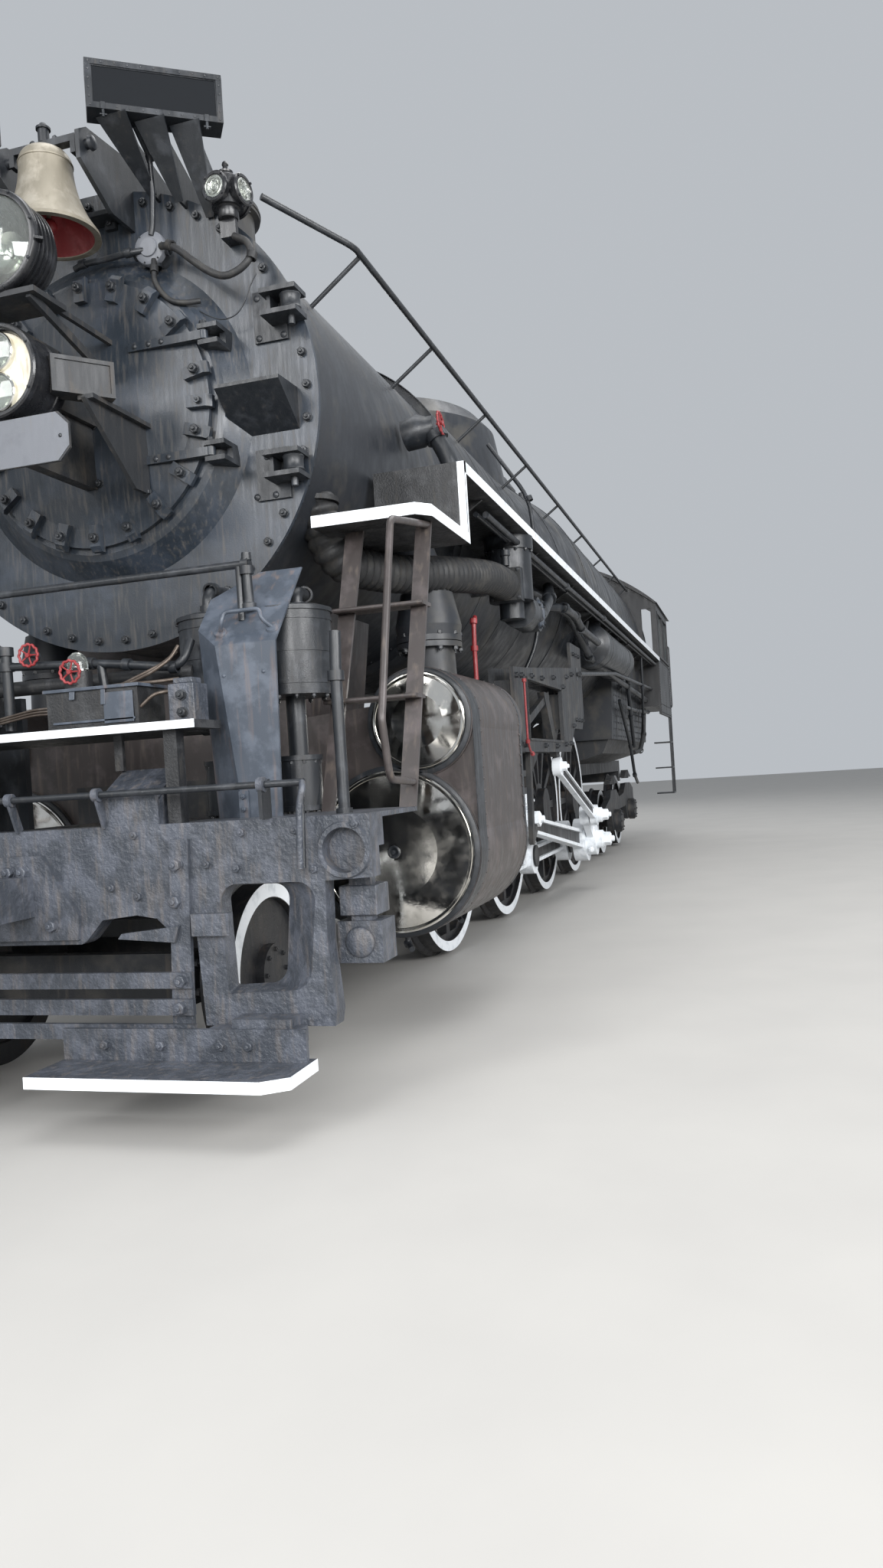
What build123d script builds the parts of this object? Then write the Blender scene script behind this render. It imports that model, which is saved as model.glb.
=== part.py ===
from build123d import *
from math import sin, cos, radians, sqrt, hypot, atan2, degrees
import os

# Heavy 2-8-4 freight steam locomotive, the engine alone.
# Lengths are in millimetres: x forward from the first driving axle, y to the
# engine's left, z up from the rail head. The export moves it all by frame_shift.

# Wheels and axles
flange_height = 28
tyre_width = 140
back_to_back = 1353
axle_radius = 120
driver_radius = 876.5
driver_spacing = 1854
crank_radius = 432
crank_angle = 243
lead_radius = 419
lead_axle_x = 2972
lead_axle_radius = 80
trail_front_radius = 457
trail_rear_radius = 546
trail_axle_radius = 85
trail_gap = 2489
trail_spacing = 1778
running_gap = 6

# Boiler
boiler_z = 3129
plate_x = 2763
plate_radius = 1135
plate_thickness = 22
smokebox_radius = 1112
smokebox_wall = 20
smokebox_rear_x = 250
barrel_radius = 1175
throat_radius = 1340
taper_start_x = -2150
taper_end_x = -4400
firebox_front_x = -6480
backhead_x = -10900
firebox_half_width = 1290
firebox_bottom_z = 1600

# Smokebox front
dish_radius = 800
dish_depth = 117
door_radius = 640
door_opening_radius = 560
dog_circle = 603
dog_stud = 20
dog_angles = [18 * i for i in range(20) if i not in (4, 5, 6)] + [79, 93, 106]
door_gap = 5
hinge_y = 642
hinge_pin_radius = 12
hinge_offset = 272
hinge_half = 20

# Cylinders and motion
cylinder_y = 1173
cylinder_z = 891
cylinder_radius = 455
cover_radius = 425
cylinder_front_x = 2165
cylinder_rear_x = 1000
valve_y = 1340
valve_z = 1562
valve_radius = 285
valve_cover_radius = 252
main_rod_length = 3310
rod_plane_inner = 905
rod_plane_outer = 1035
main_rod_inner = 1105
main_rod_outer = 1240

# Running boards, front end and cab
board_edge_y = 1627
board_z = 2912
board_depth = 60
low_board_z = 2535
low_board_depth = 55
riser_x = 2015
low_board_front_x = 2760
beam_x = 3647
beam_depth = 150
beam_half_width = 1578
beam_top_z = 1149
beam_bottom_z = 905
deck_z = 1564
deck_half_width = 862
bed_rail_y = 546
bed_rail_width = 127
bed_top_z = 1330
cab_front_x = -9870
cab_length = 2450
cab_overhang = 350
cab_half_width = 1612
cab_low_z = 2020
cab_floor_z = 2190
cab_eave_z = 3774
cab_wall = 40
stack_top_z = 4750

# Worked out
driver_xs = [-i * driver_spacing for i in range(4)]
trail_front_x = driver_xs[3] - trail_gap
trail_rear_x = trail_front_x - trail_spacing
driver_z = driver_radius
wheel_back_y = back_to_back / 2
wheel_face_y = wheel_back_y + tyre_width
main_pin_x = driver_xs[2] + crank_radius * cos(radians(crank_angle))
main_pin_z = driver_z + crank_radius * sin(radians(crank_angle))
wrist_x = main_pin_x + sqrt(main_rod_length**2 - (cylinder_z - main_pin_z) ** 2)
door_x = plate_x + dish_depth
hinge_x = door_x + 45
bed_inner_y = bed_rail_y - bed_rail_width / 2
bed_outer_y = bed_rail_y + bed_rail_width / 2
cab_rear_x = cab_front_x - cab_length
coupler_face_x = beam_x + 760
middle_x = (coupler_face_x + cab_rear_x) / 2
frame_shift = Location((-middle_x, 0, flange_height))


def block(x0, x1, y0, y1, z0, z1):
    size = Box(abs(x1 - x0), abs(y1 - y0), abs(z1 - z0))
    return Pos((x0 + x1) / 2, (y0 + y1) / 2, (z0 + z1) / 2) * size


def round_x(r, x0, x1, y, z):
    return Pos((x0 + x1) / 2, y, z) * Rot(0, 90, 0) * Cylinder(r, abs(x1 - x0))


def round_y(r, y0, y1, x, z):
    return Pos(x, (y0 + y1) / 2, z) * Rot(90, 0, 0) * Cylinder(r, abs(y1 - y0))


def round_z(r, z0, z1, x, y):
    return Pos(x, y, (z0 + z1) / 2) * Cylinder(r, abs(z1 - z0))


def slab_xz(points, y0, y1):
    # Outline in x and z, from y0 to y1
    face = Plane.XZ * make_face(Polyline(*points, close=True))
    return Pos(0, y1, 0) * extrude(face, amount=y1 - y0)


def slab_yz(points, x0, x1):
    # Outline in y and z, from x0 to x1
    face = Plane.YZ * make_face(Polyline(*points, close=True))
    return Pos(x0, 0, 0) * extrude(face, amount=x1 - x0)


def slab_xy(points, z0, z1):
    # Outline in x and y, from z0 to z1
    return Pos(0, 0, z0) * extrude(make_face(Polyline(*points, close=True)), amount=z1 - z0)


def turned_x(points, y, z):
    # Outline in x and radius, turned about a line along x
    face = Plane.XZ * make_face(Polyline(*points, close=True))
    return Pos(0, y, z) * revolve(face, axis=Axis.X)


def turned_y(points, x, z):
    # Outline in radius and y, turned about a line along y
    face = make_face(Polyline(*points, close=True))
    return Pos(x, 0, z) * revolve(face, axis=Axis.Y)


def turned_z(points, x, y):
    # Outline in radius and z, turned about an upright line
    face = Plane.XZ * make_face(Polyline(*points, close=True))
    return Pos(x, y, 0) * revolve(face, axis=Axis.Z)


def rod(start, end, r):
    a, b = Vector(*start), Vector(*end)
    plane = Plane(origin=a, z_dir=b - a)
    return plane * (Pos(0, 0, (b - a).length / 2) * Cylinder(r, (b - a).length))


def bar(start, end, width, thick, across):
    # Flat bar whose width lies along the direction across
    a, b = Vector(*start), Vector(*end)
    plane = Plane(origin=a, x_dir=Vector(*across), z_dir=b - a)
    return plane * (Pos(0, 0, (b - a).length / 2) * Box(width, thick, (b - a).length))


def wedge(start, end, start_width, end_width, thick, across):
    # Flat bar that narrows from one end to the other
    a, b = Vector(*start), Vector(*end)
    first = Plane(origin=a, x_dir=Vector(*across), z_dir=b - a)
    last = Plane(origin=b, x_dir=Vector(*across), z_dir=b - a)
    return loft([first * Rectangle(start_width, thick), last * Rectangle(end_width, thick)], ruled=True)


def plate(points, thick, along):
    # Flat closed outline in space, thickened along one direction
    return extrude(make_face(Polyline(*points, close=True)), amount=thick, dir=along)


def pipe(points, r, bend):
    # Round pipe along straight runs joined by bends of one radius
    path = FilletPolyline(*points, radius=bend)
    start = Plane(origin=path @ 0, z_dir=path % 0)
    return sweep(start * Circle(r), path=path)


def left_right(shape):
    return [shape, mirror(shape, about=Plane.XZ)]


def both_sides(pieces):
    return [side for piece in pieces for side in left_right(piece)]


def clear_of(piece, neighbours):
    for neighbour in neighbours:
        piece = piece - neighbour
    return piece


def seat(piece, *neighbours):
    # Cut the neighbours away and keep the main solid
    return max(clear_of(piece, neighbours).solids(), key=lambda s: s.volume)


def apart(*pieces):
    # Solids that only touch, each cut back by the ones before it
    done = []
    for piece in pieces:
        for other in done:
            piece = piece - other
        done.append(piece)
    return done


def solids_of(pieces):
    found = []
    for piece in pieces:
        found += piece.solids()
    return found


def save(name, *pieces):
    moved = [s.moved(frame_shift) for s in solids_of(pieces)]
    export_step(moved[0] if len(moved) == 1 else Compound(moved), f"parts/{name}.step")


os.makedirs("parts", exist_ok=True)


# Boiler

barrel_solid = turned_x(
    [(smokebox_rear_x, 0), (smokebox_rear_x, barrel_radius), (taper_start_x, barrel_radius),
     (taper_end_x, throat_radius), (firebox_front_x, throat_radius), (firebox_front_x, 0)],
    0, boiler_z)

smokebox_solid = round_x(smokebox_radius, smokebox_rear_x, plate_x - plate_thickness, 0, boiler_z)


def firebox_face():
    # Round crown with sides that lean in to the mud ring
    side_z = boiler_z - 350
    side_y = sqrt(throat_radius**2 - (boiler_z - side_z) ** 2)
    right, left = (-side_y, side_z), (side_y, side_z)
    crown = ThreePointArc(left, (0, boiler_z + throat_radius), right)
    walls = Polyline(right, (-firebox_half_width + 60, firebox_bottom_z),
                     (firebox_half_width - 60, firebox_bottom_z), left)
    return Plane.YZ * make_face([crown, walls])


firebox_solid = Pos(backhead_x, 0, 0) * extrude(firebox_face(), amount=firebox_front_x - backhead_x)

save("boiler_barrel", barrel_solid)
save("firebox", firebox_solid)


# Smokebox with its stack and front

stack_x = 1580
stack_base_radius = 420
stack_radius = 300
stack_bore = 235


def smokebox():
    inside = round_x(smokebox_radius - smokebox_wall, smokebox_rear_x + smokebox_wall, plate_x, 0, boiler_z)
    throat = round_z(stack_bore, boiler_z, boiler_z + 1.2 * smokebox_radius, stack_x, 0)
    return smokebox_solid - inside - throat


def smokebox_front():
    # Flat ring plate, then a pressed dish that rises to the door ring
    flat, ring = plate_x - plate_thickness, door_x
    outline = [(flat, dish_radius - 30), (flat, plate_radius), (plate_x, plate_radius),
               (plate_x, dish_radius), (ring - 20, door_radius + 60), (ring - door_gap, door_radius + 30),
               (ring - door_gap, door_opening_radius), (ring - 26, door_opening_radius),
               (ring - 30, door_radius + 10)]
    return turned_x(outline, 0, boiler_z)


def stack():
    base_z = boiler_z + sqrt(smokebox_radius**2 - stack_base_radius**2) - 20
    outline = [(stack_bore, base_z), (stack_base_radius, base_z), (stack_base_radius - 40, base_z + 60),
               (stack_radius, base_z + 200), (stack_radius, stack_top_z - 60),
               (stack_radius + 35, stack_top_z - 50), (stack_radius + 35, stack_top_z),
               (stack_bore, stack_top_z)]
    return turned_z(outline, stack_x, 0) - smokebox_solid


front_solid = smokebox_front()
save("smokebox", smokebox())
save("smokebox_front", front_solid)
save("stack", stack())


# Smokebox door, its ring of dogs, hinge straps and lamps

def smokebox_door():
    door = turned_x(
        [(door_x, 0), (door_x, door_radius), (door_x + 24, door_radius), (door_x + 30, door_radius - 90),
         (door_x + 62, 0.45 * door_radius), (door_x + 70, 0)],
        0, boiler_z)
    back, face = door_x + 20, door_x + 65
    low, high = dog_circle - 64, dog_circle + 63
    clamp = slab_xz([(back, low), (face, low), (face, high - 24), (face - 20, high), (back, high)], -28, 28)
    clamp = clamp + round_x(14, face, face + dog_stud, 0, dog_circle)
    for angle in dog_angles:
        door = door + Pos(0, 0, boiler_z) * Rot(-angle, 0, 0) * clamp
    for z in (boiler_z - hinge_offset, boiler_z + hinge_offset):
        strap = block(door_x + 24, door_x + 66, 250, hinge_y, z - hinge_half, z + hinge_half)
        door = door + strap + round_z(hinge_half + 2, z - hinge_half, z + hinge_half, hinge_x, hinge_y)
    for z in (boiler_z - hinge_offset, boiler_z + hinge_offset):
        door = door - round_z(hinge_pin_radius + 0.3, z - 60, z + 60, hinge_x, hinge_y)
    return door


def door_lugs():
    # Fixed lugs above and below each strap end carry the hinge pin
    lugs = []
    for z in (boiler_z - hinge_offset, boiler_z + hinge_offset):
        low, high = hinge_half + 6, hinge_half + 28
        y0, y1 = hinge_y - 22, hinge_y + 80
        lug = round_z(hinge_pin_radius, z - high + 6, z + high - 6, hinge_x, hinge_y)
        for side in (-1, 1):
            lug = lug + block(door_x - 90, hinge_x + 22, y0, y1, z + side * low, z + side * high)
        lug = lug + block(door_x - 90, door_x - 20, hinge_y + 50, hinge_y + 80, z - high, z + high)
        lugs.append(seat(lug, front_solid))
    return lugs


headlight_x = 3575
headlight_z = 3675
headlight_radius = 222
headlight_body = 205
headlight_back_x = 3330
headlight_lens = 195
headlight_bulge = 55
signal_x = 3605
signal_z = 3112
signal_radius = 203
beam_radius = 80
beam_offset = 87


def headlight():
    # Barrel casing, hollow behind its domed lens
    back, front = headlight_back_x, headlight_x
    case = turned_x(
        [(back, 0), (back, 120), (back + 38, headlight_body - 18), (back + 70, headlight_body),
         (front - 36, headlight_body), (front - 36, headlight_radius), (front, headlight_radius),
         (front, headlight_lens), (front - 14, headlight_lens), (front - 150, 60), (front - 150, 0)],
        0, headlight_z)
    # Lens of even thickness between two arcs about one centre
    outer_r = (headlight_lens**2 + headlight_bulge**2) / (2 * headlight_bulge)
    centre_x = front + headlight_bulge - outer_r

    def arc_at(r, y):
        return centre_x + sqrt(r * r - y * y), y
    inner_r, rim, half = outer_r - 8, headlight_lens, headlight_lens / 2
    outer = ThreePointArc(arc_at(outer_r, 0), arc_at(outer_r, half), arc_at(outer_r, rim))
    inner = ThreePointArc(arc_at(inner_r, rim), arc_at(inner_r, half), arc_at(inner_r, 0))
    edges = [outer, Polyline(arc_at(outer_r, rim), arc_at(inner_r, rim)), inner,
             Polyline(arc_at(inner_r, 0), arc_at(outer_r, 0))]
    lens = Pos(0, 0, headlight_z) * revolve(Plane.XZ * make_face(edges), axis=Axis.X)
    return [case, lens]


def signal_lamp():
    # Round casing with two sealed lamps, one above the other, in a recess
    back, front, r = headlight_back_x, signal_x, signal_radius
    case = turned_x(
        [(back, 0), (back, r - 60), (back + 30, r - 16), (front - 32, r - 8), (front - 32, r), (front, r),
         (front, r - 23), (front - 45, r - 31), (front - 45, 0)],
        0, signal_z)
    for side in (-1, 1):
        case = case + round_x(beam_radius, front - 60, front - 18, 0, signal_z + side * beam_offset)
    return case


signal_box_inner = (3500, 207)
signal_box_outer = (3293, 386)
signal_box_z = (3029, 3189)
signal_box_depth = 100
blank_x = 3580
blank_z = 2799
blank_half_y = 331
blank_half_z = 104


def signal_box():
    # Small box turned half outward, with a raised frame round its face
    (x0, y0), (x1, y1) = signal_box_inner, signal_box_outer
    low, high = signal_box_z
    length, height = hypot(x1 - x0, y1 - y0), high - low
    place = Pos((x0 + x1) / 2, (y0 + y1) / 2, (low + high) / 2) * Rot(0, 0, degrees(atan2(y1 - y0, x1 - x0)))
    case = Pos(0, signal_box_depth / 2, 0) * Box(length, signal_box_depth, height)
    return place * (case - Box(length - 36, 14, height - 36))


def door_brackets():
    # Shelf on struts for the headlight, arms for the signal lamp, its box and the blank plate
    seat_x = door_x + 50
    shelf_z = headlight_z - headlight_radius + 6
    pieces = [block(headlight_back_x, headlight_x - 15, -190, 190, shelf_z - 24, shelf_z)]
    for y in (-150, 150):
        back, low = (seat_x, y, shelf_z - 205), (seat_x, y, shelf_z - 12)
        pieces.append(bar((headlight_x - 35, y, shelf_z - 20), back, 40, 22, (0, 0, 1)))
        pieces.append(bar((headlight_back_x + 15, y, shelf_z - 12), low, 24, 22, (0, 0, 1)))
    pieces.append(block(seat_x, headlight_back_x + 15, -60, 60, signal_z - 60, signal_z + 40))
    pieces.append(slab_xz([(seat_x, signal_z), (seat_x, blank_z - 40), (blank_x - 12, blank_z - 40),
                           (blank_x - 12, blank_z + 40), (headlight_back_x, signal_z - 120),
                           (headlight_back_x, signal_z)], -30, 30))
    box_low = signal_box_z[0]
    pieces.append(slab_xz([(seat_x, box_low - 20), (seat_x, box_low - 330), (seat_x + 120, box_low - 330),
                           (3400, box_low - 40), (3420, box_low - 20)], 290, 312))
    pieces.append(block(seat_x, 3400, 262, 340, box_low - 20, box_low))
    pieces.append(signal_box())
    wide, tall, cut = blank_half_y, blank_half_z, 50
    octagon = [(-wide, -tall + cut), (-wide + cut, -tall), (wide - cut, -tall), (wide, -tall + cut),
               (wide, tall - cut), (wide - cut, tall), (-wide + cut, tall), (-wide, tall - cut)]
    pieces.append(Pos(0, 0, blank_z) * slab_yz(octagon, blank_x - 12, blank_x))
    shape = pieces[0]
    for piece in pieces[1:]:
        shape = shape + piece
    return shape - door_solid - signal_solid - headlight_solids[0]


door_solid = smokebox_door()
headlight_solids = headlight()
signal_solid = signal_lamp()
save("smokebox_door", door_solid)
save("headlight", *headlight_solids)
save("signal_lamp", signal_solid)
save("door_lamp_bracket", door_brackets())


# Bell in its yoke, swinging on trunnions between two cheeks

bell_x = 3140
bell_mouth_z = 3888
bell_radius = 230
bell_height = 402
trunnion_z = 4270
trunnion_radius = 22
yoke_half = 178
cheek_y = 215
cheek_thick = 22


def bell():
    # Flared profile of two arcs outside and one inside, with a clapper
    low, top, r = bell_mouth_z, bell_mouth_z + bell_height, bell_radius
    flare = ThreePointArc((r - 4, low + 18), (158, low + 140), (121, top - 65))
    shoulder = ThreePointArc((121, top - 65), (97, top - 19), (50, top))
    inside = ThreePointArc((96, top - 72), (136, low + 130), (r - 30, low))
    outline = [Polyline((r - 30, low), (r, low), (r - 4, low + 18)), flare, shoulder,
               Polyline((50, top), (0, top), (0, top - 20), (60, top - 30), (96, top - 72)), inside]
    shell = Pos(bell_x, 0, 0) * revolve(Plane.XZ * make_face(outline), axis=Axis.Z)
    clapper = round_z(10, low + 50, top - 20, bell_x, 0) + Pos(bell_x, 0, low + 50) * Sphere(34)
    return shell + clapper


def bell_yoke():
    top = bell_mouth_z + bell_height
    shape = block(bell_x - 24, bell_x + 24, -yoke_half, yoke_half, top, top + 32)
    shape = shape + round_z(26, top + 32, top + 94, bell_x, 0)
    for side in (-1, 1):
        inner, outer = side * (yoke_half - 26), side * yoke_half
        shape = shape + block(bell_x - 24, bell_x + 24, inner, outer, trunnion_z - 34, top + 32)
        shape = shape + round_y(trunnion_radius, outer, side * (cheek_y + 30), bell_x, trunnion_z)
    return shape


def bell_bracket():
    # Two cheek plates tied by a back plate and a low shelf with two feet
    tip = bell_x + 60
    cheek = slab_xz([(plate_x, 4040), (2960, 4040), (tip, trunnion_z - 90), (tip, trunnion_z + 40),
                     (bell_x, trunnion_z + 80), (plate_x + 60, 4380), (plate_x - 200, 4380),
                     (plate_x - 200, 4200), (plate_x, 4200)],
                    cheek_y - cheek_thick / 2, cheek_y + cheek_thick / 2)
    cheek = cheek - round_y(trunnion_radius + 1, cheek_y - 40, cheek_y + 40, bell_x, trunnion_z)
    pieces = left_right(cheek)
    pieces.append(block(plate_x - 200, plate_x - 178, -cheek_y, cheek_y, 4200, 4380))
    pieces.append(block(plate_x, plate_x + 110, -cheek_y, cheek_y, 4100, 4122))
    pieces += left_right(block(plate_x, plate_x + 27, 72, 132, 4070, 4160))
    return [piece - smokebox_solid - front_solid for piece in apart(*pieces)]


save("bell", bell())
save("bell_yoke", bell_yoke())
save("bell_bracket", *bell_bracket())


# Number boards, marker lamps and the fittings round the smokebox front

board_inner = (3239, 300)
board_outer = (2899, 803)
number_low_z = 4366
number_high_z = 4588
number_thick = 120


def number_board():
    (x0, y0), (x1, y1) = board_inner, board_outer
    length, height = hypot(x1 - x0, y1 - y0), number_high_z - number_low_z
    case = Box(length, number_thick, height)
    # The window side faces forward and outward
    case = case - Pos(0, -number_thick / 2, 0) * Box(length - 60, 16, height - 60)
    turn = degrees(atan2(y1 - y0, x1 - x0))
    place = Pos((x0 + x1) / 2, (y0 + y1) / 2, (number_low_z + number_high_z) / 2) * Rot(0, 0, turn)
    shape = place * Pos(0, number_thick / 2, 0) * case
    # Three gussets, each with a flange that narrows downward
    for share, lean in ((-0.36, 60), (-0.08, 60), (0.18, 10)):
        cx = (x0 + x1) / 2 + share * (x1 - x0) - 30
        cy = (y0 + y1) / 2 + share * (y1 - y0)
        foot_z = boiler_z + sqrt(plate_radius**2 - cy**2) - 40
        foot_x = plate_x + lean
        gusset = slab_xz([(cx, number_low_z), (cx - 130, number_low_z), (plate_x - 260, foot_z + 60),
                          (plate_x - 200, foot_z - 20), (foot_x, foot_z)], cy - 7, cy + 7)
        flange = wedge((cx, cy, number_low_z), (foot_x, cy, foot_z), 150, 40, 12, (0, 1, 0))
        shape = shape + gusset + flange
    return shape - smokebox_solid - front_solid


marker_x = 2840
marker_y = 768
marker_z = 4069


def marker_lamp():
    body = Pos(marker_x, marker_y, marker_z) * Cylinder(74, 130)
    dome = turned_z([(0, marker_z + 65), (74, marker_z + 65), (30, marker_z + 100), (0, marker_z + 104)],
                    marker_x, marker_y)
    shape = body + dome
    for turn in (-10, 80, 170):
        nose = Pos(marker_x, marker_y, marker_z) * Rot(0, 0, turn) * Pos(78, 0, 0) * Rot(0, 90, 0)
        shape = shape + nose * Cylinder(64, 30)
    y0, y1 = marker_y - 40, marker_y + 40
    foot = block(marker_x - 14, marker_x + 14, y0, y1, marker_z - 190, marker_z - 65)
    arm = block(plate_x - 60, marker_x + 14, y0, y1, marker_z - 200, marker_z - 180)
    return shape + foot + arm - smokebox_solid - front_solid


spool_x = plate_x + 87
spools = ((1058, 3510), (1023, 2766))
junction_box = (350, 3897)


def front_fittings():
    # Pressed step, two roller brackets at the rim, junction box: all on the engine's left
    step_x = plate_x + 215
    step = slab_xz([(plate_x, 3149), (step_x, 3140), (step_x, 3124), (plate_x, 2953)], 704, 1029)
    hollow = slab_xz([(plate_x - 1, 3133), (plate_x + 190, 3124), (plate_x - 1, 2975)], 718, 1015)
    items = [step - hollow]
    for y, z in spools:
        item = block(plate_x, plate_x + 16, y - 223, y - 53, z - 130, z + 110)
        for low in (z - 62, z + 40):
            item = item + block(plate_x + 16, plate_x + 150, y - 130, y + 50, low, low + 22)
        item = item + block(plate_x + 16, plate_x + 110, y - 110, y - 92, z - 40, z + 40)
        items.append(item + round_z(46, z - 40, z + 40, spool_x, y))
    y, z = junction_box
    items.append(round_x(74, plate_x, plate_x + 97, y, z))
    return [item - front_solid for item in items]


save("number_boards", *left_right(number_board()))
save("marker_lamps", *left_right(marker_lamp()))
save("front_fittings", *front_fittings(), *door_lugs())


# Engine bed: two side rails with pedestals, cross ties, truck posts and front extensions

bed_bottom_z = 960
pedestal_bottom_z = 620
pedestal_half = 290
saddle_tie_x = (1950, 2350)
front_rail_y = 330
front_rail_half = 60
bed_front_x = beam_x - beam_depth
bed_rear_x = -11950
cradle_front_x = -6500
cradle_low_z = 1140
drag_depth = 220
drag_low_z = 960
drawbar_pin_radius = 46
truck_pivot_x = 1500
trail_pivot_x = -6350


def bed_rail():
    # Deep rail with a bored pedestal at each driving axle
    y0, y1 = bed_inner_y, bed_outer_y
    pieces = [block(cradle_front_x, saddle_tie_x[1], y0, y1, bed_bottom_z, bed_top_z)]
    for x in driver_xs:
        pieces.append(block(x - pedestal_half, x + pedestal_half, y0, y1, pedestal_bottom_z, bed_bottom_z))
    bores = [round_y(axle_radius + running_gap, y0 - 1, y1 + 1, x, driver_z) for x in driver_xs]
    return [clear_of(piece, bores) for piece in pieces]


def engine_bed():
    y = bed_inner_y
    cradle = block(bed_rear_x, cradle_front_x, y, bed_outer_y, cradle_low_z, bed_top_z)
    shape = both_sides(bed_rail() + [cradle])
    for x in (700, -927, -2781, -4635, trail_pivot_x):
        shape.append(block(x - 70, x + 70, -y, y, 1060, bed_top_z - 20))
    for x in (-8940, -11300):
        shape.append(block(x - 70, x + 70, -y, y, cradle_low_z + 10, bed_top_z - 20))
    # Ties and arm above the leading truck's pivot, then the two truck posts with their pins
    low, high = saddle_tie_x
    shape.append(block(low, high, -y, y, 1010, bed_top_z))
    shape.append(block(truck_pivot_x - 150, low, -140, 140, bed_bottom_z, 1140))
    truck_posts = ((truck_pivot_x, 340, 40, 540, bed_bottom_z), (trail_pivot_x, 500, 45, 715, 1060))
    for x, z0, r, z1, z2 in truck_posts:
        post = [(0, z0), (r, z0), (r, z1), (120, z1), (120, z2), (0, z2)]
        shape.append(turned_z(post, x, 0))
    # Front extensions with the centre casting over the leading truck
    y0, y1 = front_rail_y - front_rail_half, front_rail_y + front_rail_half
    shape += left_right(block(high, bed_front_x, y0, y1, 1010, 1140))
    shape.append(block(lead_axle_x - 170, lead_axle_x + 170, -y0, y0, 1010, 1130))
    shape.append(round_z(140, 810, 1010, lead_axle_x, 0))
    return shape


def drag_casting():
    # Casting across the bed's rear end, bored for the drawbar pin
    x0, x1 = bed_rear_x - drag_depth, bed_rear_x
    shape = block(x0, x1, -bed_outer_y, bed_outer_y, drag_low_z, bed_top_z)
    return shape - round_z(drawbar_pin_radius, drag_low_z - 60, bed_top_z + 70, (x0 + x1) / 2, 0)


bed = engine_bed()
save("engine_bed", *bed)
save("drag_casting", drag_casting())


# Cylinders: one casting a side, bolted together on the middle line under the smokebox

saddle_front_x = 2160
saddle_rear_x = 1040
saddle_half_width = 660


def cylinder_half():
    x0, x1 = cylinder_rear_x, cylinder_front_x
    barrel = round_x(cylinder_radius, x0, x1, cylinder_y, cylinder_z)
    chest = round_x(valve_radius, x0 - 60, x1, valve_y, valve_z)
    # Jacket tangent to cylinder and chest, web inward to the bed
    web = slab_yz([(bed_outer_y, cylinder_z - 250), (cylinder_y, cylinder_z - 250),
                   (cylinder_y + cylinder_radius - 8, cylinder_z + 60),
                   (valve_y + valve_radius - 4, valve_z - 20), (valve_y, valve_z + 120),
                   (bed_outer_y, valve_z + 60)], x0 + 20, x1 - 20)
    half = barrel + chest + web
    half = half - block(x0 - 100, x1 + 100, 0, bed_outer_y, 0, 3000)
    rise = slab_yz([(0, bed_top_z), (bed_outer_y + 2, bed_top_z), (bed_outer_y + 2, valve_z + 60),
                    (saddle_half_width + 40, 2300), (0, 2300)],
                   saddle_rear_x, saddle_front_x)
    return half + rise - round_x(smokebox_radius, 0, plate_x, 0, boiler_z)


def covers():
    # Polished front covers, slightly domed
    items = []
    for y, z, r in ((cylinder_y, cylinder_z, cover_radius), (valve_y, valve_z, valve_cover_radius)):
        x = cylinder_front_x
        items.append(turned_x([(x, 0), (x, r), (x + 30, r), (x + 46, 0.55 * r), (x + 50, 0)], y, z))
    return items


cylinder_left = cylinder_half()
save("cylinders", *left_right(cylinder_left))
save("cylinder_covers", *both_sides(covers()))


# Crosshead, guide, main rod and eccentric gear of one side: fixed, see the open pivot at the main pin

guide_low_z = 1085
guide_high_z = 1270
guide_half = 86
yoke_x = -927
yoke_half_thick = 30
yoke_low_z = 1425
gear_inner_y = 1270
gear_outer_y = 1420
gear_plate = 28
wrist_radius = 70


def guide():
    # Grooved beam, its yoke arched over the rods, and the yoke's legs to the beam and to the bed
    y0, y1 = cylinder_y - guide_half, cylinder_y + guide_half
    x0, x1 = yoke_x - yoke_half_thick, yoke_x + yoke_half_thick
    beam = block(x0, cylinder_rear_x, y0, y1, guide_low_z, guide_high_z)
    for low, high in ((y0 - 1, y0 + 28), (y1 - 28, y1 + 1)):
        beam = beam - block(x1 + 60, cylinder_rear_x - 40, low, high, guide_low_z + 50, guide_high_z - 50)
    arch = slab_yz([(bed_outer_y, yoke_low_z), (gear_inner_y, yoke_low_z), (gear_inner_y, 1700),
                    (bed_outer_y, 1640)], x0, x1)
    leg = block(x0, x1, y0, y1, guide_high_z, yoke_low_z)
    rib = block(x0, x1, bed_outer_y, bed_outer_y + 60, 1200, yoke_low_z)
    return [beam, arch, leg, rib]


def crosshead():
    low, high = cylinder_z - 110, cylinder_z + 90
    body = slab_xz([(wrist_x - 230, guide_low_z), (wrist_x + 230, guide_low_z), (wrist_x + 210, high),
                    (wrist_x + 150, low), (wrist_x - 150, low), (wrist_x - 210, high)],
                   cylinder_y - 105, cylinder_y + 105)
    fork = block(wrist_x - 240, wrist_x + 150, cylinder_y - 68, cylinder_y + 68, low - 1, high + 55)
    piston_rod = round_x(55, wrist_x + 150, cylinder_rear_x, cylinder_y, cylinder_z)
    pin = round_y(wrist_radius, cylinder_y - 68, cylinder_y + 150, wrist_x, cylinder_z)
    return body - fork + piston_rod + pin


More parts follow.
